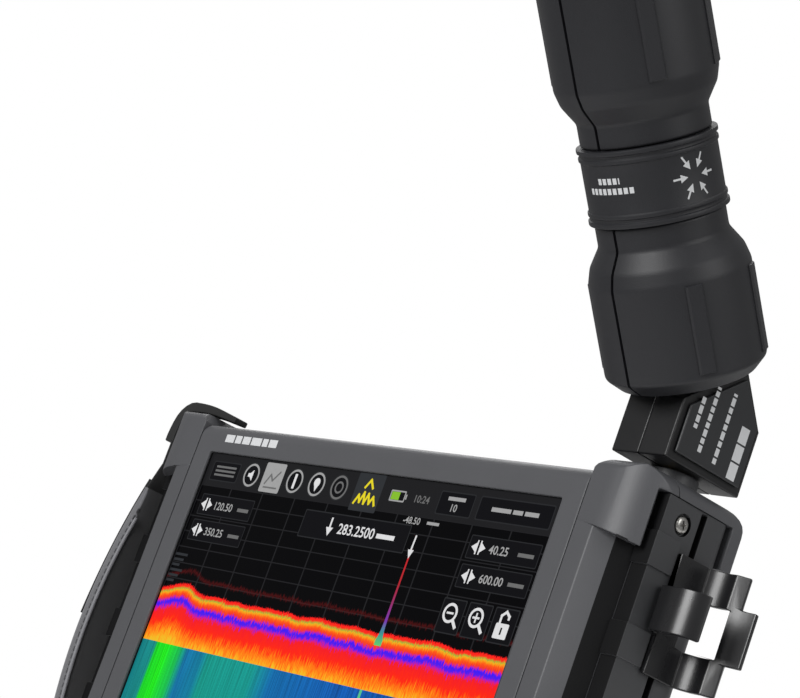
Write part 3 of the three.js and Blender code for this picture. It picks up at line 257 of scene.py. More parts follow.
def built(name, points, faces, matrix, uvs=None, sharp=None):
    """A mesh from points in millimetres, placed by a matrix; flat faces unless sharp is given."""
    mesh = bpy.data.meshes.new(name)
    mesh.from_pydata([matrix @ Vector(p) for p in points], [], faces)
    if uvs:
        layer = mesh.uv_layers.new(name="surface")
        for loop in mesh.loops:
            layer.data[loop.index].uv = uvs[loop.vertex_index]
    with editing(mesh) as bm:
        bmesh.ops.recalc_face_normals(bm, faces=bm.faces)
        if sharp:
            sharpen(bm, sharp)
    return mesh


def printed(name, outlines, matrix):
    """Flat patches from their outlines, as one mesh."""
    points, faces = [], []
    for outline in outlines:
        faces.append(tuple(range(len(points), len(points) + len(outline))))
        points += outline
    return built(name, points, faces, matrix)


def print_marks(name, outlines, matrix, body):
    """Flat patches in the white print, riding on a body."""
    finished(name, printed(name, outlines, matrix), body, [moulded("print")])


def joined(name, meshes):
    """Several meshes as one, each keeping its place."""
    mesh = bpy.data.meshes.new(name)
    with editing(mesh) as bm:
        for part in meshes:
            bm.from_mesh(part)
    return mesh


def circle(radius, steps, x=0.0, y=0.0):
    turns = [2 * math.pi * i / steps for i in range(steps)]
    return [(x + radius * math.cos(a), y + radius * math.sin(a)) for a in turns]


def quads(rows, count, across=True, around=False):
    """Faces between neighbouring rows of points, closed across each row and round the rows."""
    return [(i * count + k, i * count + (k + 1) % count,
             (i + 1) % rows * count + (k + 1) % count, (i + 1) % rows * count + k)
            for i in range(rows if around else rows - 1)
            for k in range(count if across else count - 1)]


def backwards(start, count):
    return tuple(start + k for k in reversed(range(count)))


def filleted(points, radius, steps=4):
    """An open outline with its inner corners rounded."""
    path = [Vector(p) for p in points]
    out = [path[0]]
    for before, corner, after in zip(path, path[1:], path[2:]):
        a, b = before - corner, after - corner
        reach = min(radius, a.length * 0.45, b.length * 0.45)
        start, end = corner + a.normalized() * reach, corner + b.normalized() * reach
        for i in range(steps + 1):
            t = i / steps
            out.append(start * (1 - t) ** 2 + corner * 2 * t * (1 - t) + end * t * t)
    out.append(path[-1])
    return out


def sweep(name, path, section, thickness_at=lambda t: 1.0):
    """A closed tube: a cross-section of depth and height pairs carried along a path in X and Z."""
    points, uvs = [], []
    count, last = len(section), len(path) - 1
    run = 0.0
    for i, here in enumerate(path):
        before, after = path[max(i - 1, 0)], path[min(i + 1, last)]
        along = (Vector(after) - Vector(before)).normalized()
        run += (Vector(here) - Vector(before)).length
        share = thickness_at(i / last)
        for depth, height in section:
            points.append((here[0] + along.y * height * share, depth,
                           here[1] - along.x * height * share))
            uvs.append((run / 1000, depth / 1000))
    faces = [*quads(last + 1, count), tuple(range(count)), backwards(last * count, count)]
    return built(name, points, faces, CASE, uvs, sharp=50)


def pill_section(front, back, thickness, power=12.0, steps=28, square=2.4):
    """A flat cross-section with full rounded edges."""
    middle, half = (front + back) / 2, (back - front) / 2
    return [(middle + half * math.copysign(abs(c) ** (2 / power), c),
             thickness / 2 * math.copysign(abs(s) ** (2 / square), s))
            for c, s in circle(1, steps)]


# ---- Wires: node trees written as plain sums ---------------------------------------------------
class Wire:
    """An output of a node that takes part in sums by adding math nodes to its tree."""

    def __init__(self, socket):
        self.socket = socket
        self.tree = socket.id_data

    def math(self, operation, *values, clamp=False):
        return add(self.tree, "ShaderNodeMath", dict(enumerate((self, *values))),
                   operation=operation, use_clamp=clamp)

    def __add__(self, other):
        return self.math("ADD", other)

    def __sub__(self, other):
        return self.math("SUBTRACT", other)

    def __mul__(self, other):
        return self.math("MULTIPLY", other)

    def __truediv__(self, other):
        return self.math("DIVIDE", other)

    def __gt__(self, other):
        return self.math("GREATER_THAN", other)

    def __lt__(self, other):
        return self.math("LESS_THAN", other)

    def __abs__(self):
        return self.math("ABSOLUTE")

    def between(self, low, high):
        return (self > low) * (self < high)

    def tinted(self, gain):
        """A colour made lighter or darker."""
        return add(self.tree, "ShaderNodeVectorMath", {0: self, "Scale": gain}, operation="SCALE")

    def over(self, under, colour):
        """Lays a colour over another, with this wire as its share."""
        pair = [c if isinstance(c, Wire) else (*c, 1) for c in (under, colour)]
        return add(self.tree, "ShaderNodeMix", {0: self, 6: pair[0], 7: pair[1]}, 2,
                   data_type="RGBA")

    def ramp(self, stops):
        """Colours along this wire's value."""
        node = self.tree.nodes.new("ShaderNodeValToRGB")
        elements = node.color_ramp.elements
        elements.remove(elements[-1])
        elements[0].position, elements[0].color = stops[0][0], (*stops[0][1], 1)
        for place, colour in stops[1:]:
            elements.new(place).color = (*colour, 1)
        feed(node.inputs["Fac"], self)
        return Wire(node.outputs["Color"])


def feed(socket, value):
    """Links a wire to an input, or sets the input's own value."""
    if isinstance(value, Wire):
        value.tree.links.new(value.socket, socket)
    else:
        socket.default_value = value


def add(tree, kind, inputs, out=0, **values):
    """Adds a node, sets it, feeds its inputs and gives back one of its outputs."""
    node = tree.nodes.new(kind)
    for key, value in values.items():
        setattr(node, key, value)
    for key, value in inputs.items():
        feed(node.inputs[key], value)
    return Wire(node.outputs[out])


def noise(tree, vector, scale, **more):
    return add(tree, "ShaderNodeTexNoise", {"Vector": vector, "Scale": scale, **more}, "Fac")


def speckle(x, y, scale_x, scale_y, detail):
    """Noise with its own scale on each of two axes."""
    place = add(x.tree, "ShaderNodeCombineXYZ", {0: x * scale_x, 1: y * scale_y})
    return noise(x.tree, place, 1, Detail=detail)


# ---- Repeats, by geometry nodes ----------------------------------------------------------------
REPEAT_NODES = {
    "given": "NodeGroupInput", "result": "NodeGroupOutput", "info": "GeometryNodeObjectInfo",
    "place": "GeometryNodeInstanceOnPoints", "facing": "GeometryNodeInputNamedAttribute",
    "along": "GeometryNodeInputNamedAttribute", "first": "FunctionNodeAlignRotationToVector",
    "second": "FunctionNodeAlignRotationToVector", "uneven": "FunctionNodeRandomValue",
    "scale": "ShaderNodeVectorMath", "low": "ShaderNodeMath", "high": "ShaderNodeMath",
    "real": "GeometryNodeRealizeInstances", "paint": "GeometryNodeSetMaterial",
}
REPEAT_LINKS = (
    ("given", "Points", "place", "Points"), ("given", "Piece", "info", "Object"),
    ("info", "Geometry", "place", "Instance"), ("facing", "Attribute", "first", "Vector"),
    ("first", "Rotation", "second", "Rotation"), ("along", "Attribute", "second", "Vector"),
    ("second", "Rotation", "place", "Rotation"), ("given", "Uneven Size", "low", 1),
    ("given", "Uneven Size", "high", 1), ("low", 0, "uneven", 2), ("high", 0, "uneven", 3),
    ("given", "Size", "scale", 0), ("uneven", 1, "scale", "Scale"),
    ("scale", "Vector", "place", "Scale"), ("place", "Instances", "real", "Geometry"),
    ("real", "Geometry", "paint", "Geometry"), ("given", "Finish", "paint", "Material"),
    ("paint", "Geometry", "result", "Pieces"),
)


def repeat_tree():
    """A node tree that sets one piece on each point, turned to the point's own direction."""
    found = bpy.data.node_groups.get("Repeat on points")
    if found:
        return found
    tree = bpy.data.node_groups.new("Repeat on points", "GeometryNodeTree")
    for word, kind in (("Points", "Geometry"), ("Piece", "Object"), ("Size", "Vector"),
                       ("Uneven Size", "Float"), ("Finish", "Material")):
        tree.interface.new_socket(word, in_out="INPUT", socket_type="NodeSocket" + kind)
    tree.interface.new_socket("Pieces", in_out="OUTPUT", socket_type="NodeSocketGeometry")
    nodes = {word: tree.nodes.new(kind) for word, kind in REPEAT_NODES.items()}
    for word in ("facing", "along"):
        nodes[word].data_type = "FLOAT_VECTOR"
        nodes[word].inputs["Name"].default_value = word
    nodes["first"].axis, nodes["second"].axis, nodes["second"].pivot_axis = "Z", "X", "Z"
    nodes["uneven"].data_type = "FLOAT"
    nodes["uneven"].inputs["Seed"].default_value = 7
    nodes["scale"].operation = "SCALE"
    for word, operation in (("low", "SUBTRACT"), ("high", "ADD")):
        nodes[word].operation = operation
        nodes[word].inputs[0].default_value = 1
    for start, out, end, into in REPEAT_LINKS:
        tree.links.new(nodes[start].outputs[out], nodes[end].inputs[into])
    return tree


def repeated(name, places, template, size, finish, uneven=0.0):
    """One mesh with the template at each place: a point, its facing and its length's way."""
    holder_mesh = bpy.data.meshes.new(name)
    holder_mesh.from_pydata([p[0] for p in places], [], [])
    for word, k in (("facing", 1), ("along", 2)):
        attribute = holder_mesh.attributes.new(word, "FLOAT_VECTOR", "POINT")
        for i, place in enumerate(places):
            attribute.data[i].vector = place[k]
    shape = linked(name + "_shape", template)
    holder = linked(name + "_points", holder_mesh)
    tree = repeat_tree()
    modifier = holder.modifiers.new("Repeat", "NODES")
    modifier.node_group = tree
    given = {"Piece": shape, "Size": size, "Uneven Size": uneven, "Finish": finish}
    for socket in tree.interface.items_tree:
        if socket.in_out == "INPUT" and socket.name in given:
            modifier[socket.identifier] = given[socket.name]
    mesh = taken(holder)
    mesh.name = name
    bpy.data.objects.remove(shape)
    if not mesh.polygons:
        raise RuntimeError(name + " came out empty")
    return mesh


# ---- Finishes ----------------------------------------------------------------------------------
def shared_group(name, inputs, outputs, wire):
    """A shader node group, wired on first use by a function of its inputs."""
    tree = bpy.data.node_groups.get(name)
    if tree:
        return tree
    tree = bpy.data.node_groups.new(name, "ShaderNodeTree")
    kinds = {tuple: "NodeSocketColor", float: "NodeSocketFloat"}
    tree.interface.new_socket("Vector", in_out="INPUT", socket_type="NodeSocketVector")
    for word, value in inputs.items():
        socket = tree.interface.new_socket(word, in_out="INPUT", socket_type=kinds[type(value)])
        socket.default_value = value
    for word in outputs:
        kind = "NodeSocketColor" if word == "Colour" else "NodeSocketFloat"
        tree.interface.new_socket(word, in_out="OUTPUT", socket_type=kind)
    given, result = tree.nodes.new("NodeGroupInput"), tree.nodes.new("NodeGroupOutput")
    made = wire(tree, {s.name: Wire(s) for s in given.outputs if s.name})
    for word in outputs:
        feed(result.inputs[word], made[word])
    return tree


def wire_grain(tree, given):
    """Moulded grain with slow changes of tone and faint scuffs."""
    vector, scale = given["Vector"], given["Grain Scale"]
    fine = noise(tree, vector, scale, Detail=2)
    tone = noise(tree, vector, 22, Detail=4) - 0.5
    scuff = noise(tree, vector, 140, Detail=6, Distortion=1.5)
    cells = add(tree, "ShaderNodeTexVoronoi", {"Vector": vector, "Scale": scale}, "Distance")
    both = tone * 1.4 + (fine - 0.5) * 0.9
    wear = scuff.math("SUBTRACT", 0.55, clamp=True) * given["Scuffs"]
    rough = given["Roughness"] + tone * 0.16
    return {"Colour": given["Colour"].tinted(both * given["Unevenness"] + 1.0),
            "Roughness": rough.math("SUBTRACT", wear, clamp=True),
            "Height": fine * 0.6 + cells * 0.4}


def wire_weave(tree, given):
    """Plain weave on the piece's own map, in metres."""
    vector = given["Vector"]
    across, down = (add(tree, "ShaderNodeTexWave", {
        "Vector": vector, "Scale": given["Threads"], "Distortion": 0.6, "Detail Scale": 2,
    }, "Fac", bands_direction=direction) for direction in "XY")
    top = across.math("MAXIMUM", down)
    shade = top * 0.5 + (noise(tree, vector, 1500) * given["Fleck"] + 0.55)
    return {"Colour": given["Colour"].tinted(shade), "Height": top}


def grain_group():
    return shared_group("Moulded grain", {
        "Grain Scale": 2600.0, "Colour": (0.1, 0.1, 0.1, 1), "Unevenness": 0.12,
        "Roughness": 0.5, "Scuffs": 0.1}, ("Colour", "Roughness", "Height"), wire_grain)


def weave_group():
    return shared_group("Weave", {"Threads": 900.0, "Colour": (0.1, 0.1, 0.1, 1), "Fleck": 0.2},
                        ("Colour", "Height"), wire_weave)


def material_of(name, wire):
    """The material of this name, wired on first use."""
    material = bpy.data.materials.get(name)
    if not material:
        material = bpy.data.materials.new(name)
        material.use_nodes = True
        wire(material.node_tree, material.node_tree.nodes["Principled BSDF"].inputs)
    return material


def surface(name, group, source, bump, values, shader):
    """A material whose shader takes its colour, roughness and height from a shared group."""
    def wire(tree, inputs):
        box = tree.nodes.new("ShaderNodeGroup")
        box.node_tree = group
        values["Vector"] = add(tree, "ShaderNodeTexCoord", {}, source)
        for word, value in values.items():
            feed(box.inputs[word], value)
        feed(inputs["Base Color"], Wire(box.outputs["Colour"]))
        if "Roughness" in box.outputs:
            feed(inputs["Roughness"], Wire(box.outputs["Roughness"]))
        feed(inputs["Normal"], add(tree, "ShaderNodeBump", {
            "Strength": bump, "Distance": 0.0002, "Height": Wire(box.outputs["Height"])}))
        for word, value in shader.items():
            inputs[word].default_value = value

    return material_of(name, wire)


def plastic(name, colour, roughness, bump=0.25, grain=None, unevenness=0.12, scuffs=0.15,
            metallic=0.0, coat=0.0, specular=0.5):
    return surface(name, grain_group(), "Object", bump, {
        "Grain Scale": grain or settings().case.grain_size, "Colour": (*colour, 1),
        "Unevenness": unevenness, "Roughness": roughness, "Scuffs": scuffs,
    }, {"Metallic": metallic, "Coat Weight": coat, "Specular IOR Level": specular,
        "Coat Roughness": 0.25})


def cloth(name, colour, threads, bump, fleck=0.2):
    return surface(name, weave_group(), "UV", bump, {
        "Threads": threads, "Colour": (*colour, 1), "Fleck": fleck,
    }, {"Roughness": 0.9, "Sheen Weight": 0.25, "Sheen Roughness": 0.5})


# Each finish: its name, its colour or the setting that holds it, its roughness and the rest.
FINISHES = {
    "shell": ("Moulded case", "case.shell_colour", 0.42, {}),
    "guard": ("Moulded guard", "case.guard_colour", 0.46, {}),
    "dark": ("Dark moulding", "case.dark_colour", 0.45, {}),
    # Painted shade: a near-black finish laid where the grips' finger channels and the rails' front
    # faces lie in shade.
    "painted_shade": ("Soft grip", (0.004, 0.004, 0.0045), 0.6, {"bump": 0.3, "specular": 0.15}),
    "clip": ("Clip plastic", (0.0085, 0.0085, 0.0095), 0.27,
             {"bump": 0.1, "scuffs": 0.05, "coat": 0.2}),
    "antenna": ("Antenna plastic", "antenna.colour", 0.5, {"bump": 0.3, "grain": 3200}),
    "elbow": ("Elbow plastic", (0.0045, 0.0045, 0.0052), 0.42, {}),
    "label": ("Label plate", (0.020, 0.021, 0.023), 0.42, {"bump": 0.12}),
    "rubber": ("Black rubber", (0.012, 0.012, 0.012), 0.75, {"bump": 0.4, "grain": 1800}),
    "steel": ("Screw steel", (0.42, 0.41, 0.39), 0.3,
              {"bump": 0.05, "grain": 5200, "unevenness": 0.06, "metallic": 1.0}),
    "brass": ("Plated brass", (0.72, 0.55, 0.25), 0.3,
              {"bump": 0.05, "grain": 5200, "metallic": 1.0}),
    "sheet": ("Sheet aluminium", (0.55, 0.56, 0.58), 0.4,
              {"bump": 0.08, "grain": 3800, "metallic": 1.0}),
    "white": ("White moulding", (0.75, 0.75, 0.73), 0.4, {"bump": 0.1}),
    "print": ("White print", (0.62, 0.63, 0.64), 0.6, {"bump": 0.05, "unevenness": 0.1}),
    "board": ("Circuit board", (0.02, 0.11, 0.05), 0.45,
              {"bump": 0.2, "grain": 900, "unevenness": 0.3}),
    "floor": ("Studio floor", "stage.floor_colour", 0.7,
              {"bump": 0.0, "unevenness": 0.01, "scuffs": 0.0}),
}


def moulded(word):
    """The finish of this short name."""
    name, colour, roughness, more = FINISHES[word]
    if isinstance(colour, str):
        colour = attrgetter(colour)(settings())
    return plastic(name, colour, roughness, **more)


# ---- Screen picture, in millimetres from the screen's upper left corner -------------------------
TRACE_TOP = 14.4
WATERFALL_TOP = 83.4
SIGNAL_TOP, SIGNAL_END = 22.0, 66.0
TRACE_COLOURS = [
    (0.0, (1.0, 0.01, 0.01)), (0.055, (0.95, 0.03, 0.01)), (0.075, (0.25, 0.45, 0.05)),
    (0.10, (0.9, 0.45, 0.01)), (0.15, (1.0, 0.10, 0.005)), (0.22, (0.85, 0.02, 0.02)),
    (0.26, (0.03, 0.01, 0.95)), (0.34, (0.10, 0.01, 0.80)), (0.39, (0.90, 0.01, 0.02)),
    (0.62, (1.0, 0.02, 0.003)), (0.75, (1.0, 0.16, 0.004)), (0.88, (1.0, 0.38, 0.01)),
    (1.0, (0.85, 0.55, 0.02))]
SIGNAL_COLOURS = [
    (0.0, (0.70, 0.02, 0.02)), (0.45, (0.42, 0.02, 0.03)), (0.62, (0.30, 0.03, 0.14)),
    (0.78, (0.18, 0.04, 0.42)), (0.88, (0.04, 0.26, 0.30)), (1.0, (0.12, 0.60, 0.15))]
WATERFALL_COLOURS = [
    (0.0, (0.006, 0.20, 0.22)), (0.045, (0.008, 0.24, 0.22)), (0.05, (0.01, 0.62, 0.02)),
    (0.085, (0.015, 0.80, 0.01)), (0.125, (0.01, 0.50, 0.08)), (0.15, (0.006, 0.16, 0.36)),
    (0.20, (0.006, 0.20, 0.33)), (0.22, (0.008, 0.30, 0.24)), (0.36, (0.008, 0.30, 0.26)),
    (0.42, (0.006, 0.14, 0.38)), (0.62, (0.006, 0.10, 0.42)), (1.0, (0.005, 0.07, 0.33))]
OFF_SCREEN = (0.003, 0.003, 0.003)


def light_up(inputs, colour, roughness):
    """Sets a display material to give off its own colour under a dark glass."""
    for word, value in (("Emission Color", colour), ("Roughness", roughness),
                        ("Emission Strength", settings().screen.brightness),
                        ("Base Color", (0.002, 0.002, 0.0025, 1)), ("Specular IOR Level", 0.04)):
        feed(inputs[word], value)


def wire_picture(tree, inputs):
    """Live spectrum over a scrolling waterfall, drawn on the screen's own map."""
    place = add(tree, "ShaderNodeUVMap", {}, uv_map="surface")
    parts = add(tree, "ShaderNodeSeparateXYZ", {0: place}).socket.node
    x, z = (Wire(parts.outputs[k]) * 1000.0 for k in (0, 1))

    # Edge of the noise floor: a slow wander, a hump on the left and a fine flutter.
    beside = (x - 16.0) / 10.0
    hump = (beside * beside * -1.0).math("EXPONENT") * -3.6
    wander = (speckle(x, 0.0, 0.06, 1.0, 3) - 0.5) * 5.0
    flutter = (speckle(x, 3.0, 1.9, 1.0, 3) - 0.5) * 4.2
    edge = hump + 60.8 + (wander + flutter)
    depth = z - edge
    ragged = depth + (speckle(x, z, 2.2, 0.20, 3) - 0.5) * (depth * 0.95)
    fill = (ragged / 25.0).ramp(TRACE_COLOURS)
    # Grid on black.
    across = x.math("PINGPONG", SCREEN_WIDTH / settings().screen.divisions / 2)
    rows = (z - TRACE_TOP).math("PINGPONG", 3.45)
    lines = (across < 0.35).math("MAXIMUM", rows < 0.22)
    grid = (lines * 0.75).over((0.0, 0.0, 0.0), (0.020, 0.020, 0.022))
    # Held maximum above the live trace.
    held = edge - 5.5 - z + (speckle(x, 9.0, 0.9, 1, 3) - 0.5) * 5.0
    near = (abs(held) * -0.9).math("ADD", 1.0, clamp=True)
    grid = (near * 0.8).over(grid, (0.085, 0.004, 0.004))
    trace = (depth > 0.0).over(grid, fill)
    # Signal: a narrow column that changes colour with its strength.
    off = abs(x - settings().screen.peak_place * 1000)
    run = (z - SIGNAL_TOP).math("DIVIDE", 42.0, clamp=True)
    reach = run.math("MULTIPLY_ADD", 0.45, 0.32) + run.math("POWER", 14.0) * 1.3
    inside = (off < reach) * z.between(SIGNAL_TOP, SIGNAL_END)
    column = ((z - SIGNAL_TOP) / (SIGNAL_END - SIGNAL_TOP)).ramp(SIGNAL_COLOURS)
    trace = inside.over(trace, column)
    # Waterfall: bands across, fine lines down the time axis.
    bands = (x / SCREEN_WIDTH).ramp(WATERFALL_COLOURS)
    grainy = (speckle(x, z, 2.2, 1.6, 2) - 0.5) * 0.5
    lined = (speckle(x, z, 1.8, 0.02, 1) - 0.5) * 1.5
    fall = (off < 0.7).over(bands.tinted(grainy + lined + 1.0), (0.10, 0.55, 0.25))
    picture = (z > WATERFALL_TOP).over(trace, fall)
    # Tool bar, and the dark edge outside the picture.
    picture = (z < TRACE_TOP).over(picture, (0.012, 0.012, 0.013))
    lit = z.between(0.0, SCREEN_HEIGHT).over(OFF_SCREEN, picture)
    lit = x.between(0.0, SCREEN_WIDTH).over(OFF_SCREEN, lit)
    light_up(inputs, lit, noise(tree, place, 35).math("MULTIPLY_ADD", 0.10, 0.12))


def lit_finish(name, colour):
    """A flat patch of light on the display, with a faint fine texture."""
    def wire(tree, inputs):
        place = add(tree, "ShaderNodeTexCoord", {}, "Object")
        dark = tuple(c * 0.85 for c in colour)
        light_up(inputs, noise(tree, place, 900).over(dark, colour), 0.18)

    return material_of(name, wire)


TONES = {
    "slate": (0.030, 0.033, 0.037), "dark": (0.004, 0.004, 0.005), "grey": (0.16, 0.16, 0.16),
    "pale": (0.38, 0.38, 0.38), "white": (0.78, 0.78, 0.79), "yellow": (0.85, 0.72, 0.02),
    "lime": (0.25, 0.55, 0.03), "steel": (0.022, 0.023, 0.025),
}


class Patches:
    """Flat shapes on the display, gathered by colour, each a little in front of the last."""

    def __init__(self):
        self.made = {}
        self.depth = 0

    def lay(self, tone, outlines):
        self.depth += 1
        height = -0.02 - 0.0012 * self.depth
        self.made.setdefault(tone, []).extend(
            [(x - SCREEN_WIDTH / 2, height, -z) for x, z in outline] for outline in outlines)

    def add(self, tone, *outline):
        self.lay(tone, [outline])

    def box(self, tone, x0, z0, x1, z1, radius=0.0):
        if not radius:
            return self.add(tone, (x0, z0), (x1, z0), (x1, z1), (x0, z1))
        out = []
        for x, z, turn in ((x1 - radius, z0 + radius, -90), (x1 - radius, z1 - radius, 0),
                           (x0 + radius, z1 - radius, 90), (x0 + radius, z0 + radius, 180)):
            for step in range(5):
                a = math.radians(turn + step * 22.5)
                out.append((x + radius * math.cos(a), z + radius * math.sin(a)))
        return self.add(tone, *out)

    def frame(self, x0, z0, x1, z1, radius, rim=0.5):
        """A dark box with a thin rim."""
        self.box("steel", x0, z0, x1, z1, radius)
        self.box("dark", x0 + rim, z0 + rim, x1 - rim, z1 - rim, radius - 0.2)

    def disc(self, tone, x, z, radius):
        self.add(tone, *circle(radius, 28, x, z))

    def line(self, tone, width, *points):
        for a, b in zip(map(Vector, points), map(Vector, points[1:])):
            run = (b - a).normalized() * width / 2
            side = Vector((-run.y, run.x))
            self.add(tone, a - run + side, b + run + side, b + run - side, a - run - side)

    def dash(self, tone, width, x0, x1, z):
        self.line(tone, width, (x0, z), (x1, z))

    def digits(self, tone, text, x, z, height):
        """Plain numbers, set from a point at their lower left."""
        curve = bpy.data.curves.new("digits", "FONT")
        curve.body = text
        curve.size = height * 1.45
        curve.offset = height * 0.02
        curve.resolution_u = 3
        mesh = taken(linked("digits", curve))
        corners = [(x + v.co.x, z - v.co.y) for v in mesh.vertices]
        self.lay(tone, [[corners[v] for v in face.vertices] for face in mesh.polygons])

    def span(self, x, z):
        """Two arrows that point away from a middle bar."""
        for way in (-1, 1):
            self.line("white", 0.7, (x + way * 0.9, z - 2.4), (x + way * 0.9, z + 2.4))
        self.add("white", (x - 1.2, z - 1.9), (x - 1.2, z + 1.9), (x - 3.9, z))
        self.add("white", (x + 1.2, z - 1.9), (x + 3.9, z), (x + 1.2, z + 1.9))

    def finish(self):
        front = CASE.to_3x3() @ Vector((0, -1, 0))
        for tone, outlines in self.made.items():
            mesh = printed("screen_" + tone, outlines, CASE)
            with editing(mesh) as bm:
                for face in bm.faces:
                    face.normal_update()
                    if face.normal.dot(front) < 0:
                        face.normal_flip()
            finished("screen_" + tone, mesh, "case",
                     [lit_finish("Screen " + tone, TONES[tone])])


def draw_tool_bar(p):
    p.frame(3.4, 3.2, 22.6, 12.0, 1.0)
    for z in (5.6, 7.4, 9.2):
        p.dash("grey", 0.9, 6.5, 19.5, z)
    for x, rim in ((31.4, "pale"), (60.9, "pale"), (75.4, "pale"), (90.0, "grey")):
        for tone, radius in (("steel", 5.6), (rim, 5.1), ("dark", 4.2)):
            p.disc(tone, x, 7.4, radius)
    p.add("white", (29.2, 6.6), (30.6, 6.6), (32.4, 4.9), (32.4, 9.9), (30.6, 8.2), (29.2, 8.2))
    p.line("white", 1.5, (60.9, 5.0), (60.9, 9.8))
    p.disc("white", 75.4, 6.6, 1.9)
    p.add("white", (74.0, 7.6), (76.8, 7.6), (75.4, 10.6))
    p.disc("grey", 90.0, 7.4, 2.6)
    p.disc("dark", 90.0, 7.4, 1.8)
    p.box("pale", 39.4, 0.9, 52.7, 13.7, 0.8)
    p.line("grey", 0.9, (42.0, 10.0), (44.5, 6.0), (46.5, 8.5), (50.0, 4.6))
    p.dash("grey", 0.7, 42.0, 50.4, 11.6)
    p.box("slate", 99.9, 0.0, 116.3, 15.8, 0.6)
    p.line("yellow", 1.1, (101.8, 12.6), (103.6, 9.2), (105.0, 12.0), (106.6, 8.0), (107.8, 12.4),
           (109.4, 8.4), (111.0, 12.2), (112.6, 9.4), (114.4, 12.6))
    p.line("yellow", 1.1, (105.8, 5.8), (108.1, 2.6), (110.4, 5.8))
    p.box("pale", 122.0, 5.2, 131.0, 9.8, 0.5)
    p.box("dark", 122.6, 5.8, 130.4, 9.2)
    p.box("lime", 122.8, 5.9, 127.6, 9.1)
    p.box("pale", 131.2, 6.5, 132.0, 8.5)
    p.digits("grey", "10:24", 136.2, 9.0, 2.9)
    for x0, x1 in ((150.6, 170.6), (173.4, 214.0)):
        p.frame(x0, 2.8, x1, 12.4, 0.8)
    p.dash("pale", 1.5, 156.4, 164.8, 5.6)
    p.digits("pale", "10", 158.0, 10.6, 2.9)
    for x0, x1 in ((181.0, 191.6), (192.8, 198.0), (199.2, 206.6)):
        p.dash("pale", 1.7, x0 + 0.8, x1 - 0.8, 7.5)


def draw_values(p):
    for z0, left, right in ((18.0, "120.50", "40.25"), (29.4, "350.25", "600.00")):
        middle = z0 + 4.6
        p.frame(4.0, z0, 40.6, z0 + 9.3, 0.6, rim=0.4)
        p.frame(175.5, z0, 214.0, z0 + 9.3, 0.6, rim=0.4)
        p.span(8.8, middle)
        p.span(181.0, middle)
        p.digits("pale", left, 14.0, z0 + 6.3, 3.3)
        p.dash("grey", 1.5, 31.5, 37.5, middle + 0.4)
        p.digits("pale", right, 187.0, z0 + 6.3, 3.3)
        p.dash("grey", 1.5, 203.5, 210.5, middle + 0.4)
    p.frame(75.0, 18.0, 141.0, 29.7, 0.6)
    p.line("white", 1.0, (93.2, 20.4), (93.2, 25.0))
    p.add("white", (91.0, 24.0), (95.4, 24.0), (93.2, 27.6))
    p.digits("white", "283.2500", 98.4, 26.0, 4.2)
    p.dash("white", 1.9, 123.4, 132.4, 24.4)
    p.digits("pale", "-48.50", 134.6, 17.6, 2.7)
    p.dash("pale", 1.2, 149.2, 155.0, 16.4)
    p.line("white", 0.9, (145.3, 22.2), (145.0, 28.2))
    p.add("white", (143.3, 27.6), (146.7, 27.6), (145.0, 31.2))
    for k in range(6):
        p.dash("slate", 1.1, 1.2, 8.5 - (k % 3) * 1.6, 45.5 + 2.3 * k)


def draw_buttons(p):
    """Two magnifiers and a padlock."""
    for k, x0 in enumerate((172.7, 187.0, 201.3)):
        p.frame(x0, 43.0, x0 + 12.9, 56.6, 0.6)
        x, z = x0 + 5.6, 48.6
        if k < 2:
            p.disc("white", x, z, 3.9)
            p.disc("dark", x, z, 2.8)
            p.dash("white", 0.8, x - 1.5, x + 1.5, z)
            p.line("white", 1.4, (x + 2.9, z + 2.9), (x + 4.7, z + 4.9))
            if k == 1:
                p.line("white", 0.8, (x, z - 1.5), (x, z + 1.5))
        else:
            p.box("white", x - 3.0, z + 0.2, x + 4.0, z + 6.0, 0.5)
            p.line("white", 1.1, (x - 1.4, z + 0.4), (x - 1.4, z - 2.6), (x + 0.6, z - 4.2),
                   (x + 2.6, z - 2.6), (x + 2.6, z - 1.8))
            p.line("dark", 0.9, (x + 0.5, z + 2.2), (x + 0.5, z + 4.0))


# ---- Operators ---------------------------------------------------------------------------------
CAMERA_PLACE = (0.775056, -0.628028, 0.108138)  # metres from the screen's top edge
CAMERA_VIEW = (-0.769374, 0.636049, -0.059202)
LIGHT_AIM = Vector((0.02, 0.0, 0.15))
AMBIENT = 0.28


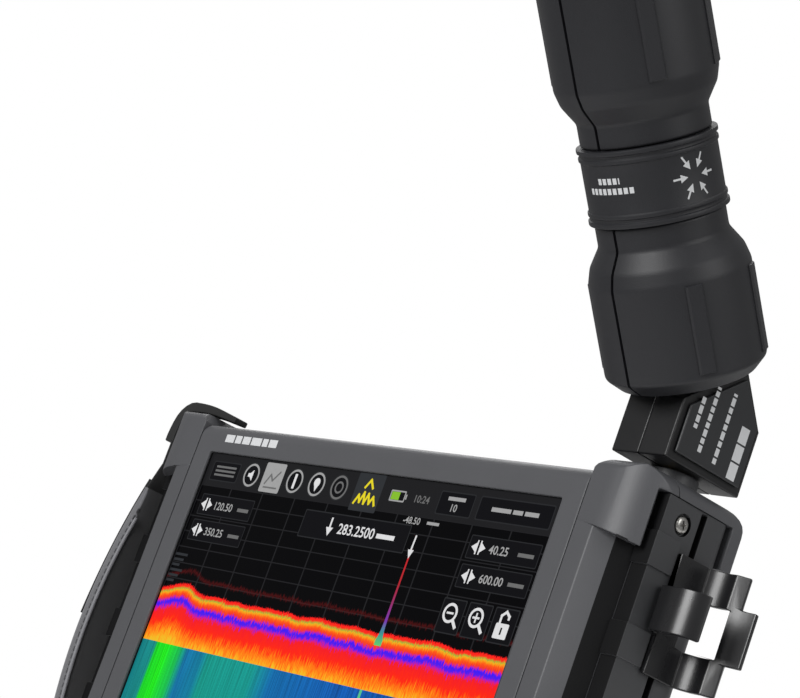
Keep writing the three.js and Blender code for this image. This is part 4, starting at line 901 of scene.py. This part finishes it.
class ANALYSER_OT_stage(bpy.types.Operator):
    """Plain pale floor, soft studio light and the camera"""

    bl_idname = "analyser.stage"
    bl_label = "Stage"

    def execute(self, context):
        s = settings().stage
        camera = linked("camera", bpy.data.cameras.new("camera"))
        camera.location = CASE.translation + Vector(CAMERA_PLACE)
        camera.rotation_euler = Vector(CAMERA_VIEW).to_track_quat("-Z", "Y").to_euler()
        camera.data.lens = s.lens
        camera.data.sensor_width = 36
        context.scene.camera = camera

        rim = [(x, y, 0) for x, y in circle(s.floor_radius, 128)]
        mesh = bpy.data.meshes.new("floor")
        mesh.from_pydata(rim, [], [tuple(range(len(rim)))])
        mesh.materials.append(moulded("floor"))
        linked("floor", mesh)

        world = bpy.data.worlds.new("studio")
        world.use_nodes = True
        back = world.node_tree.nodes["Background"].inputs
        seen = add(world.node_tree, "ShaderNodeLightPath", {}, "Is Camera Ray")
        back["Color"].default_value = (1.0, 1.0, 1.0, 1)
        feed(back["Strength"], seen.math("MULTIPLY_ADD", 1 - AMBIENT, AMBIENT))
        context.scene.world = world
        lights = (("key", (0.20, -1.35, 1.30), 0.9, s.key_power),
                  ("fill", (1.45, 0.35, 0.75), 0.8, 1.5 * s.fill_power),
                  ("back", (-1.00, 1.00, 0.85), 0.8, s.fill_power),
                  ("top", (0.10, 0.25, 1.45), 0.8, s.fill_power))
        for name, place, size, power in lights:
            lamp = bpy.data.lights.new(name, "AREA")
            lamp.size, lamp.energy = size, power
            light = linked(name, lamp)
            light.location = place
            aim = LIGHT_AIM - Vector(place)
            light.rotation_euler = aim.to_track_quat("-Z", "Y").to_euler()
        context.scene.view_settings.view_transform = "Standard"
        return {"FINISHED"}


GUARD_ROUNDING = 0.55  # of the case's edge radius
# Where the side grips get painted shade, in the case's frame: the far side of each finger channel.
CHANNEL_X = (134, 142)
CHANNEL_Z = (-150, -8)


def in_finger_channel(place, normal):
    """Whether a face of a side grip is on the far side of the grip's finger groove, the faces that
    get painted shade.
    """
    return (abs(normal.x) > 0.4 and normal.y < -0.3
            and CHANNEL_Z[0] < place.z < CHANNEL_Z[1]
            and CHANNEL_X[0] < abs(place.x) < CHANNEL_X[1])


class ANALYSER_OT_case(bpy.types.Operator):
    """Front bezel, side grips, corner guards and rear shell"""

    bl_idname = "analyser.case"
    bl_label = "Case"

    def execute(self, context):
        width = settings().case.edge_round
        small = width * GUARD_ROUNDING
        for node in ("front_bezel", "rear_shell"):
            round_node(node, "case", "casing", "shell", width)
        for side in ("right", "left"):
            grip = round_node("side_grip_" + side, "case", "guard", "guard", small)
            # Painted shade on the far side of each finger channel, in place of the shadow there.
            repaint(grip, "painted_shade", in_finger_channel)
            for end in ("upper", "lower"):
                round_node(f"corner_guard_{side}_{end}", "case", "guard", "guard", small)
        return {"FINISHED"}


class ANALYSER_OT_rails(bpy.types.Operator):
    """Accessory rails and the probe clip"""

    bl_idname = "analyser.rails"
    bl_label = "Rails and clip"

    def execute(self, context):
        for side in ("right", "left"):
            rail = round_node("side_rail_" + side, "case", "dark_plastic", "dark", 0.0004)
            # Painted shadow on the rails' front faces, as if shaded by the grips.
            repaint(rail, "painted_shade", lambda place, normal: normal.y < -0.5)
        round_node("probe_clip", "case", "clip_plastic", "clip", 0.0005, sharp=45)
        return {"FINISHED"}


def screw_template():
    """A pan-head screw of unit head radius, with a cross recess and tapering arms."""
    profile = [(1.0, 0.0), (1.0, 0.22), (0.94, 0.40), (0.78, 0.52), (0.55, 0.58)]
    steps, rings = 32, len(profile)
    points = [(x, y, height) for radius, height in profile for x, y in circle(radius, steps)]
    faces = [*quads(rings, steps), backwards(0, steps),
             tuple((rings - 1) * steps + i for i in range(steps))]
    head = built("head", points, faces, UNPLACED, sharp=35)
    arm, half = 0.56, 0.13
    tip = half * 0.8
    cross = [(half, half), (arm, tip), (arm, -tip), (half, -half), (tip, -arm), (-tip, -arm),
             (-half, -half), (-arm, -tip), (-arm, tip), (-half, half), (-tip, arm), (tip, arm)]
    count = len(cross)
    recess = [(x * 0.5, y * 0.5, 0.15) for x, y in cross] + [(x, y, 0.7) for x, y in cross]
    cutter = linked("cutter", built(
        "cutter", recess, [tuple(range(count)), backwards(count, count), *quads(2, count)],
        UNPLACED, sharp=40))
    mesh = evaluated(head, "BOOLEAN", object=cutter, operation="DIFFERENCE", solver="EXACT")
    bpy.data.objects.remove(cutter)
    with editing(mesh) as bm:
        sharpen(bm, 35)
    return mesh


SCREW_RADIUS = 0.0032
SCREW_RISE = 0.00204


class ANALYSER_OT_screws(bpy.types.Operator):
    """Cross-head screws of the rails and of the rear shell"""

    bl_idname = "analyser.screws"
    bl_label = "Screws"

    def execute(self, context):
        places = []
        nodes = sorted(n for n in NODES if "_screw_" in n)
        for k, name in enumerate(nodes):
            low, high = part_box(name)
            middle = (low + high) / 2
            out = CASE_TURN @ Vector((0, 1, 0))
            if name.startswith("rail"):
                out = Vector((1 if "right" in name else -1, 0, 0))
            reach = max(v.co.dot(out) for v in NODES[name].data.vertices)
            seat = middle + out * (reach - middle.dot(out) - SCREW_RISE)
            spin = Matrix.Rotation(0.5 + 1.1 * k, 3, out)
            places.append((seat, out, spin @ (CASE_TURN @ Vector((0, 0, 1)))))
        mesh = repeated("screw_heads", places, screw_template(), (SCREW_RADIUS,) * 3,
                        moulded("steel"))
        finished("screw_heads", mesh, "case", [], nodes)
        return {"FINISHED"}


class ANALYSER_OT_screen(bpy.types.Operator):
    """Cover glass with the picture of a live spectrum, its buttons and its value boxes"""

    bl_idname = "analyser.screen"
    bl_label = "Screen"

    def execute(self, context):
        mesh = softened("display_glass", 0.0002, segments=1)
        layer = mesh.uv_layers.new(name="surface")
        back = CASE.inverted()
        for loop in mesh.loops:
            p = back @ mesh.vertices[loop.vertex_index].co
            layer.data[loop.index].uv = ((p.x + SCREEN_WIDTH / 2) / 1000, -p.z / 1000)
        finished("cover_glass", mesh, "case",
                 [material_of("Screen picture", wire_picture)], ["display_glass"])
        patches = Patches()
        draw_tool_bar(patches)
        draw_values(patches)
        draw_buttons(patches)
        patches.finish()
        return {"FINISHED"}


BARS_START, BARS_DEPTH, BARS_LOW, BARS_HIGH = -100.7, -2.04, 4.8, 8.2


class ANALYSER_OT_controls(bpy.types.Operator):
    """Power button, socket cover and the plain bars on the bezel"""

    bl_idname = "analyser.controls"
    bl_label = "Controls and sockets"

    def execute(self, context):
        round_node("power_button", "power_button", "dark_plastic", "clip", 0.0005)
        round_node("port_cover", "port_cover", "rubber", "rubber", 0.0005)
        outlines, at = [], BARS_START
        for run in (6.0, 4.2, 5.2, 6.8, 3.6, 5.4):
            outlines.append([(x, BARS_DEPTH, z) for x, z in (
                (at, BARS_LOW), (at + run, BARS_LOW), (at + run, BARS_HIGH), (at, BARS_HIGH))])
            at += run + 0.9
        print_marks("bezel_bars", outlines, CASE, "case")
        return {"FINISHED"}


class ANALYSER_OT_battery(bpy.types.Operator):
    """Battery case and its latch"""

    bl_idname = "analyser.battery"
    bl_label = "Battery"

    def execute(self, context):
        round_node("battery_case", "battery", "dark_plastic", "dark", 0.0008)
        round_node("battery_latch", "battery_latch", "dark_plastic", "clip", 0.00025)
        return {"FINISHED"}


class ANALYSER_OT_stand(bpy.types.Operator):
    """Rear stand with its foot pad"""

    bl_idname = "analyser.stand"
    bl_label = "Stand"

    def execute(self, context):
        round_node("kickstand", "kickstand", "dark_plastic", "dark", 0.0012, segments=3)
        round_node("stand_foot_pad", "kickstand", "rubber", "rubber", 0.0005)
        return {"FINISHED"}


# ---- Hand strap --------------------------------------------------------------------------------
STRAP_LINE = -(SIDE_X + 2.6)
STRAP_TOP, STRAP_LOW = -6.0, -156.0
STRAP_BOW = 17.0
STRAP_FRONT, STRAP_BACK = 6.0, 44.0
PAD_FULL, PAD_ENDS, PAD_GAP, PAD_SPREAD = 8.0, 3.4, 1.1, 21.5
PIPING_RADIUS, PIPING_OFFSET, PIPING_SPREAD = 0.7, -8.6, 17.0
SEAM_OFFSET, SEAM_SPREAD, SEAM_LENGTH = -6.6, 18.0, 110
EDGE_DEPTH = 1.9
STITCH_SIZE = (0.0021, 0.0005, 0.0004)
TAB_POINTS = 20


def strap_arc(offset, spread, steps):
    """Points along the strap's bow, from its top down, at an offset outwards from the webbing."""
    half = (STRAP_TOP - STRAP_LOW) / 2
    radius = (half**2 + STRAP_BOW**2) / (2 * STRAP_BOW)
    cx, cz = STRAP_LINE + radius - STRAP_BOW, (STRAP_TOP + STRAP_LOW) / 2
    full = math.asin(half / radius) if spread is None else math.radians(spread)
    turns = [math.pi + full * (2 * i / steps - 1) for i in range(steps + 1)]
    reach = radius + offset
    return [(cx + reach * math.cos(a), cz + reach * math.sin(a)) for a in turns]


def pad_fullness(t):
    """Thickness of the padded sleeve along its length, as a share of its fullest."""
    least = PAD_ENDS / PAD_FULL
    return least + (1 - least) * min(1.0, min(t, 1 - t) * 5.5) ** 0.7


class ANALYSER_OT_strap(bpy.types.Operator):
    """Hand strap: webbing, padded sleeve, tab, tail and anchors"""

    bl_idname = "analyser.strap"
    bl_label = "Hand strap"

    def execute(self, context):
        s = settings().strap
        webbing = cloth("Webbing", s.webbing_colour, 620, 0.9)
        ends = [[(STRAP_LINE, z + out) for out in outs]
                for z, outs in ((STRAP_TOP, (10, 5)), (STRAP_LOW, (-5, -10)))]
        path = [*ends[0], *strap_arc(0, None, 60), *ends[1]]
        self.band("strap_webbing", path, pill_section(STRAP_FRONT, STRAP_BACK, 1.6), webbing)
        self.pad(s)
        self.edges(s)
        tab, last = strap_arc(2.1, 22.5, 40)[:TAB_POINTS], TAB_POINTS - 1
        lift = [(x - 1.2 * (1 - i / last) ** 2 - 1.0 * (i / last) ** 3, z)
                for i, (x, z) in enumerate(tab)]
        self.band("strap_tab", lift, pill_section(STRAP_FRONT + 1, STRAP_BACK - 1, 2.0), webbing)
        round_node("strap_tail", "case", "webbing", "rubber", 0.0006)
        for end in ("upper", "lower"):
            round_node("strap_anchor_" + end, "case", "dark_plastic", "dark", 0.0004)
        return {"FINISHED"}

    def band(self, node, path, section, material):
        mesh = sweep(node + "_band", path, section)
        finished(node + "_band", mesh, "case", [material], [node])

    def pad(self, s):
        """The padded sleeve, tapering to its ends, with its side faces bound."""
        steps = 72
        down = [strap_arc(-PAD_GAP - PAD_FULL * pad_fullness(i / steps) / 2, PAD_SPREAD, steps)[i]
                for i in range(steps + 1)]
        cover = pill_section(STRAP_FRONT - 2, STRAP_BACK + 2, PAD_FULL, steps=52, square=5.0)
        mesh = sweep("strap_padding", down, cover, pad_fullness)
        outward = CASE_TURN @ Vector((0, 1, 0))
        for face in mesh.polygons:
            face.material_index = int(abs(face.normal.dot(outward)) > 0.45)
        padding = cloth("Padded fabric", s.pad_colour, 1100, 0.8, fleck=0.9)
        binding = cloth("Binding", tuple(c * 5.0 for c in s.pad_colour), 1500, 0.5)
        pad = finished("strap_padding", mesh, "case", [padding, binding],
                       ["strap_pad"])

    def edges(self, s):
        """Piping along both edges of the sleeve, and the stitches beside it."""
        piping, places = [], []
        for depth, way in ((STRAP_FRONT - EDGE_DEPTH, -1), (STRAP_BACK + EDGE_DEPTH, 1)):
            piping.append(sweep("piping", strap_arc(PIPING_OFFSET, PIPING_SPREAD, 60),
                                circle(PIPING_RADIUS, 10, depth)))
            count = int(SEAM_LENGTH / (s.stitch_pitch * 1000))
            seam = strap_arc(SEAM_OFFSET, SEAM_SPREAD, count)
            for here, after in zip(seam, seam[1:]):
                along = Vector((after[0] - here[0], 0, after[1] - here[1])).normalized()
                places.append((CASE @ Vector((here[0], depth + way * 0.16, here[1])),
                               CASE_TURN @ Vector((0, way, 0)), CASE_TURN @ along))
        finished("strap_piping", joined("strap_piping", piping), "case",
                 [cloth("Piping", tuple(c * 7.5 for c in s.pad_colour), 1500, 0.5)])
        thread = cloth("Thread", tuple(c * 5.0 for c in s.pad_colour), 2500, 0.3)
        stitches = repeated("strap_stitches", places, rib_template(), STITCH_SIZE, thread,
                            uneven=0.08)
        finished("strap_stitches", stitches, "case", [])


# ---- Antenna: heights along the mast -----------------------------------------------------------
LOWER_START, LOWER_LENGTH = 14.3, 61.0
BAND_START, BAND_LENGTH = LOWER_START + LOWER_LENGTH + 0.3, 27.6
UPPER_START, UPPER_LENGTH = BAND_START + BAND_LENGTH + 0.3, 128.0
NECK, NECK_LENGTH, SHOULDER, BEVEL = 23.6, 8.5, 7.0, 5.5
NECK_END = NECK_LENGTH + SHOULDER + BEVEL
CROWN, CROWN_SHOULDER, CROWN_EDGE = 60, 14, 4  # down from the top
RIB_SINK, RIB_HEIGHT = 0.35, 0.0012
BAND_LIP, BAND_BODY, BAND_INSIDE = 25.4, 24.6, 20.0
MARK_RADIUS = BAND_BODY + 0.06
MARK_TURN, MARK_HEIGHT = 81, 14.2
# Rows of bars on the band: height, start and length in degrees
BAND_ROWS = ((16.0, -5, 22), (12.4, -17, 46))
BAR_RUN, BAR_RISE, BAR_GAP = 3.7, 2.2, 1.5
ARROW = (((8.6, 0.35), (5.4, 0.35), (5.4, -0.35), (8.6, -0.35)),
         ((5.8, 1.5), (2.9, 0), (5.8, -1.5)))
LABEL_FACE = ANTENNA_X + 15.13
LABEL_FOOT = TOP_Z + 9.2
# Rows of bars on the label: depth, start, length and width
LABEL_ROWS = ((7.0, 14, 12, 2.0), (12.6, 7, 25, 2.0), (21.4, 6, 27, 2.0), (30.4, 4, 20, 4.6))


def half_shell(name, profile, sign, seam, steps=72):
    """Half of a turned shell, closed at its parting plane."""
    points = []
    count, last = len(profile), steps * len(profile)
    for i in range(steps + 1):
        a = -math.pi / 2 + math.pi * i / steps
        for radius, height in profile:
            points.append((sign * max(radius * math.cos(a), seam / 2), radius * math.sin(a),
                           height))
    low = range(0, last + 1, count)
    faces = [*quads(steps + 1, count, across=False),
             tuple(range(count)) + backwards(last, count),
             tuple(k + count - 1 for k in low), tuple(reversed(low))]
    mesh = built(name, points, faces, MAST, sharp=32)
    with editing(mesh) as bm:
        bmesh.ops.remove_doubles(bm, verts=bm.verts, dist=1e-6)
        bmesh.ops.recalc_face_normals(bm, faces=bm.faces)
    return crisp(mesh, 32)


def rib_template():
    """A raised rib of unit size with rounded edges, lying along X and standing up in Z."""
    outline = [(-0.5, -0.5), (0.5, -0.5), (0.5, 0.5), (-0.5, 0.5)]
    levels = ((1, 1, -1.0), (1, 1, 0.45), (0.985, 0.78, 1.0))
    points = [(x * wide, y * deep, z) for wide, deep, z in levels for x, y in outline]
    return built("rib", points, [(3, 2, 1, 0), (8, 9, 10, 11), *quads(3, 4)], UNPLACED)


class ANALYSER_OT_antenna(bpy.types.Operator):
    """Antenna: elbow, label plate, collar, bulbs with ribs and neck band"""

    bl_idname = "analyser.antenna"
    bl_label = "Antenna"

    def execute(self, context):
        for side in ("right", "left"):
            round_node("elbow_shell_" + side, "antenna", "antenna_plastic", "elbow", 0.0007,
                       segments=3)
        round_node("elbow_label_plate", "antenna", "label", "label", 0.0005, segments=3)
        round_node("antenna_receptacle", "case", "dark_plastic", "dark", 0.0004)
        round_node("antenna_collar", "antenna", "antenna_plastic", "clip", 0.0003)
        wide = settings().antenna.bulb_radius * 1000
        self.bulbs(wide, settings().antenna.seam_width * 1000)
        self.ribs(wide)
        self.band()
        self.label_bars()
        self.band_marks()
        return {"FINISHED"}

    def bulbs(self, wide, seam):
        bevel = wide - 1.5
        lower = filleted([(0, 0), (wide - 5, 0), (wide, 5), (wide, LOWER_LENGTH - NECK_END),
                          (bevel, LOWER_LENGTH - NECK_LENGTH - SHOULDER),
                          (NECK, LOWER_LENGTH - NECK_LENGTH), (NECK, LOWER_LENGTH),
                          (0, LOWER_LENGTH)], 1.1)
        upper = filleted([(0, 0), (NECK, 0), (NECK, NECK_LENGTH), (bevel, NECK_LENGTH + SHOULDER),
                          (wide, NECK_END), (wide, UPPER_LENGTH - CROWN)], 1.1)
        upper += filleted([(wide, UPPER_LENGTH - CROWN), (wide, UPPER_LENGTH - CROWN_SHOULDER),
                           (wide * 0.82, UPPER_LENGTH - CROWN_EDGE), (wide * 0.5, UPPER_LENGTH),
                           (0, UPPER_LENGTH)], 8.0, 6)[1:]
        for word, start, profile in (("lower", LOWER_START, lower), ("upper", UPPER_START, upper)):
            placed = [(p.x, p.y + start) for p in profile if p.x > 0.4]
            for side, sign in (("right", 1), ("left", -1)):
                mesh = half_shell(f"{word}_bulb_{side}_shell", placed, sign, seam)
                finished(mesh.name, mesh, "antenna", [moulded("antenna")],
                         [f"{word}_bulb_{side}"])

    def ribs(self, wide):
        for word, low, high in (
                ("lower", LOWER_START + 7, LOWER_START + LOWER_LENGTH - NECK_END - 1),
                ("upper", UPPER_START + NECK_END + 1, UPPER_START + UPPER_LENGTH - 22)):
            places = []
            for degrees in (60, -60, 120, -120):
                a = math.radians(degrees - 90)
                out = Vector((math.cos(a), math.sin(a), 0))
                middle = out * (wide - RIB_SINK) + Vector((0, 0, (low + high) / 2))
                places.append((MAST @ middle, MAST_TURN @ out, MAST_TURN @ Vector((0, 0, 1))))
            size = ((high - low) / 1000, settings().antenna.rib_width, RIB_HEIGHT)
            mesh = repeated(word + "_bulb_ribs", places, rib_template(), size, moulded("antenna"))
            finished(mesh.name, mesh, "antenna", [])

    def band(self):
        """The neck band, with a double lip at each end."""
        foot = [(BAND_INSIDE, 0), (BAND_LIP, 0), (BAND_LIP, 1.6), (BAND_BODY, 1.9),
                (BAND_BODY, 3.0), (BAND_LIP - 0.25, 3.3), (BAND_LIP - 0.25, 4.6), (BAND_BODY, 4.9)]
        head = [(radius, BAND_LENGTH - height) for radius, height in reversed(foot)]
        profile = filleted(foot + head, 0.3, 2)
        steps = 128
        points = [(p.x * c, p.x * s, p.y + BAND_START) for c, s in circle(1, steps)
                  for p in profile]
        mesh = built("neck_band_ring", points, quads(steps, len(profile), around=True), MAST,
                     sharp=32)
        finished("neck_band_ring", mesh, "antenna", [moulded("antenna")],
                 ["neck_band"])

    def label_bars(self):
        """Plain printed bars on the label plate."""
        outlines = []
        for k, (depth, start, length, wide) in enumerate(LABEL_ROWS):
            at = 0.0
            while at < length:
                run = min(1.6 + (k * 7 + at * 3) % 1.5 if wide < 3 else 6.2, length - at)
                y, z = ANTENNA_Y - 20.75 + depth, LABEL_FOOT + start + at
                outlines.append([(LABEL_FACE, y, z), (LABEL_FACE, y + wide, z),
                                 (LABEL_FACE, y + wide, z + run), (LABEL_FACE, y, z + run)])
                at += run + 0.7
        print_marks("label_bars", outlines, CASE, "antenna")

    def band_marks(self):
        """Plain bars and six arrows that meet at a centre, printed on the neck band."""
        outlines = []

        def on_band(turn, height):
            a = math.radians(turn - 90)
            return (MARK_RADIUS * math.cos(a), MARK_RADIUS * math.sin(a), BAND_START + height)

        for height, start, length in BAND_ROWS:
            turn, top = start, height + BAR_RISE
            while turn < start + length:
                run = min(BAR_RUN, start + length - turn)
                steps = [turn + run * i / 3 for i in range(4)]
                for a, b in zip(steps, steps[1:]):
                    outlines.append([on_band(a, height), on_band(b, height),
                                     on_band(b, top), on_band(a, top)])
                turn += run + BAR_GAP

        def on_mark(reach, across, way):
            a = math.radians(way)
            along = reach * math.cos(a) - across * math.sin(a)
            rise = reach * math.sin(a) + across * math.cos(a)
            return on_band(MARK_TURN + math.degrees(along / MARK_RADIUS), MARK_HEIGHT + rise)

        for way in range(0, 360, 60):
            for shape in ARROW:
                outlines.append([on_mark(reach, across, way) for reach, across in shape])
        print_marks("band_marks", outlines, MAST, "antenna")


# CAD nodes that keep their own shape, by finish
KEPT = {
    "rubber": ("screen_gasket", "antenna_lead"),
    "sheet": ("lcd_panel", "chassis_plate", "rf_shield", "battery_cell_1", "battery_cell_2",
              "battery_cell_3"),
    "board": ("main_board",),
    "dark": ("speaker", "audio_socket", "power_socket"),
    "white": ("status_lens", "antenna_core"),
    "steel": ("usb_socket", "stand_pin_right", "stand_pin_left"),
    "brass": ("antenna_plug",),
}


class ANALYSER_OT_inner_parts(bpy.types.Operator):
    """Finishes of the inner pieces, pins and sockets that keep their CAD shape"""

    bl_idname = "analyser.inner_parts"
    bl_label = "Inner parts"

    def execute(self, context):
        kept = {name: finish for finish, names in KEPT.items() for name in names}
        for name, finish in kept.items():
            NODES[name].data.materials.clear()
            NODES[name].data.materials.append(moulded(finish))
        bare = [n for n, o in NODES.items() if not o.hide_render and n not in kept]
        if bare:
            raise RuntimeError("no finish for " + ", ".join(bare))
        return {"FINISHED"}


# ---- Add-on ------------------------------------------------------------------------------------
class AnalyserProperties(bpy.types.PropertyGroup):
    """Everything that can be set."""

    case: PointerProperty(type=AnalyserCaseProperties)
    screen: PointerProperty(type=AnalyserScreenProperties)
    antenna: PointerProperty(type=AnalyserAntennaProperties)
    strap: PointerProperty(type=AnalyserStrapProperties)
    stage: PointerProperty(type=AnalyserStageProperties)


STEPS = (ANALYSER_OT_stage, ANALYSER_OT_case, ANALYSER_OT_rails, ANALYSER_OT_screws,
         ANALYSER_OT_screen, ANALYSER_OT_controls, ANALYSER_OT_battery, ANALYSER_OT_stand,
         ANALYSER_OT_strap, ANALYSER_OT_antenna, ANALYSER_OT_inner_parts)
GROUPS = (AnalyserCaseProperties, AnalyserScreenProperties, AnalyserAntennaProperties,
          AnalyserStrapProperties, AnalyserStageProperties, AnalyserProperties)


class ANALYSER_PT_panel(bpy.types.Panel):
    """Sizes, colours and building steps of the analyser"""

    bl_idname = "ANALYSER_PT_panel"
    bl_label = "Spectrum analyser"
    bl_space_type = "VIEW_3D"
    bl_region_type = "UI"
    bl_category = "Analyser"

    def draw(self, context):
        for word in ("case", "screen", "antenna", "strap", "stage"):
            group = getattr(settings(), word)
            box = self.layout.box()
            box.label(text=word.capitalize())
            for name in group.__annotations__:
                box.prop(group, name)
        for step in STEPS:
            self.layout.operator(step.bl_idname)


def register():
    for item in (*GROUPS, *STEPS, ANALYSER_PT_panel):
        bpy.utils.register_class(item)
    bpy.types.Scene.analyser = PointerProperty(type=AnalyserProperties)


def unregister():
    del bpy.types.Scene.analyser
    for item in reversed((*GROUPS, *STEPS, ANALYSER_PT_panel)):
        bpy.utils.unregister_class(item)


def main():
    register()
    for step in STEPS:
        area, name = step.bl_idname.split(".")
        getattr(getattr(bpy.ops, area), name)()


if __name__ == "__main__":
    main()
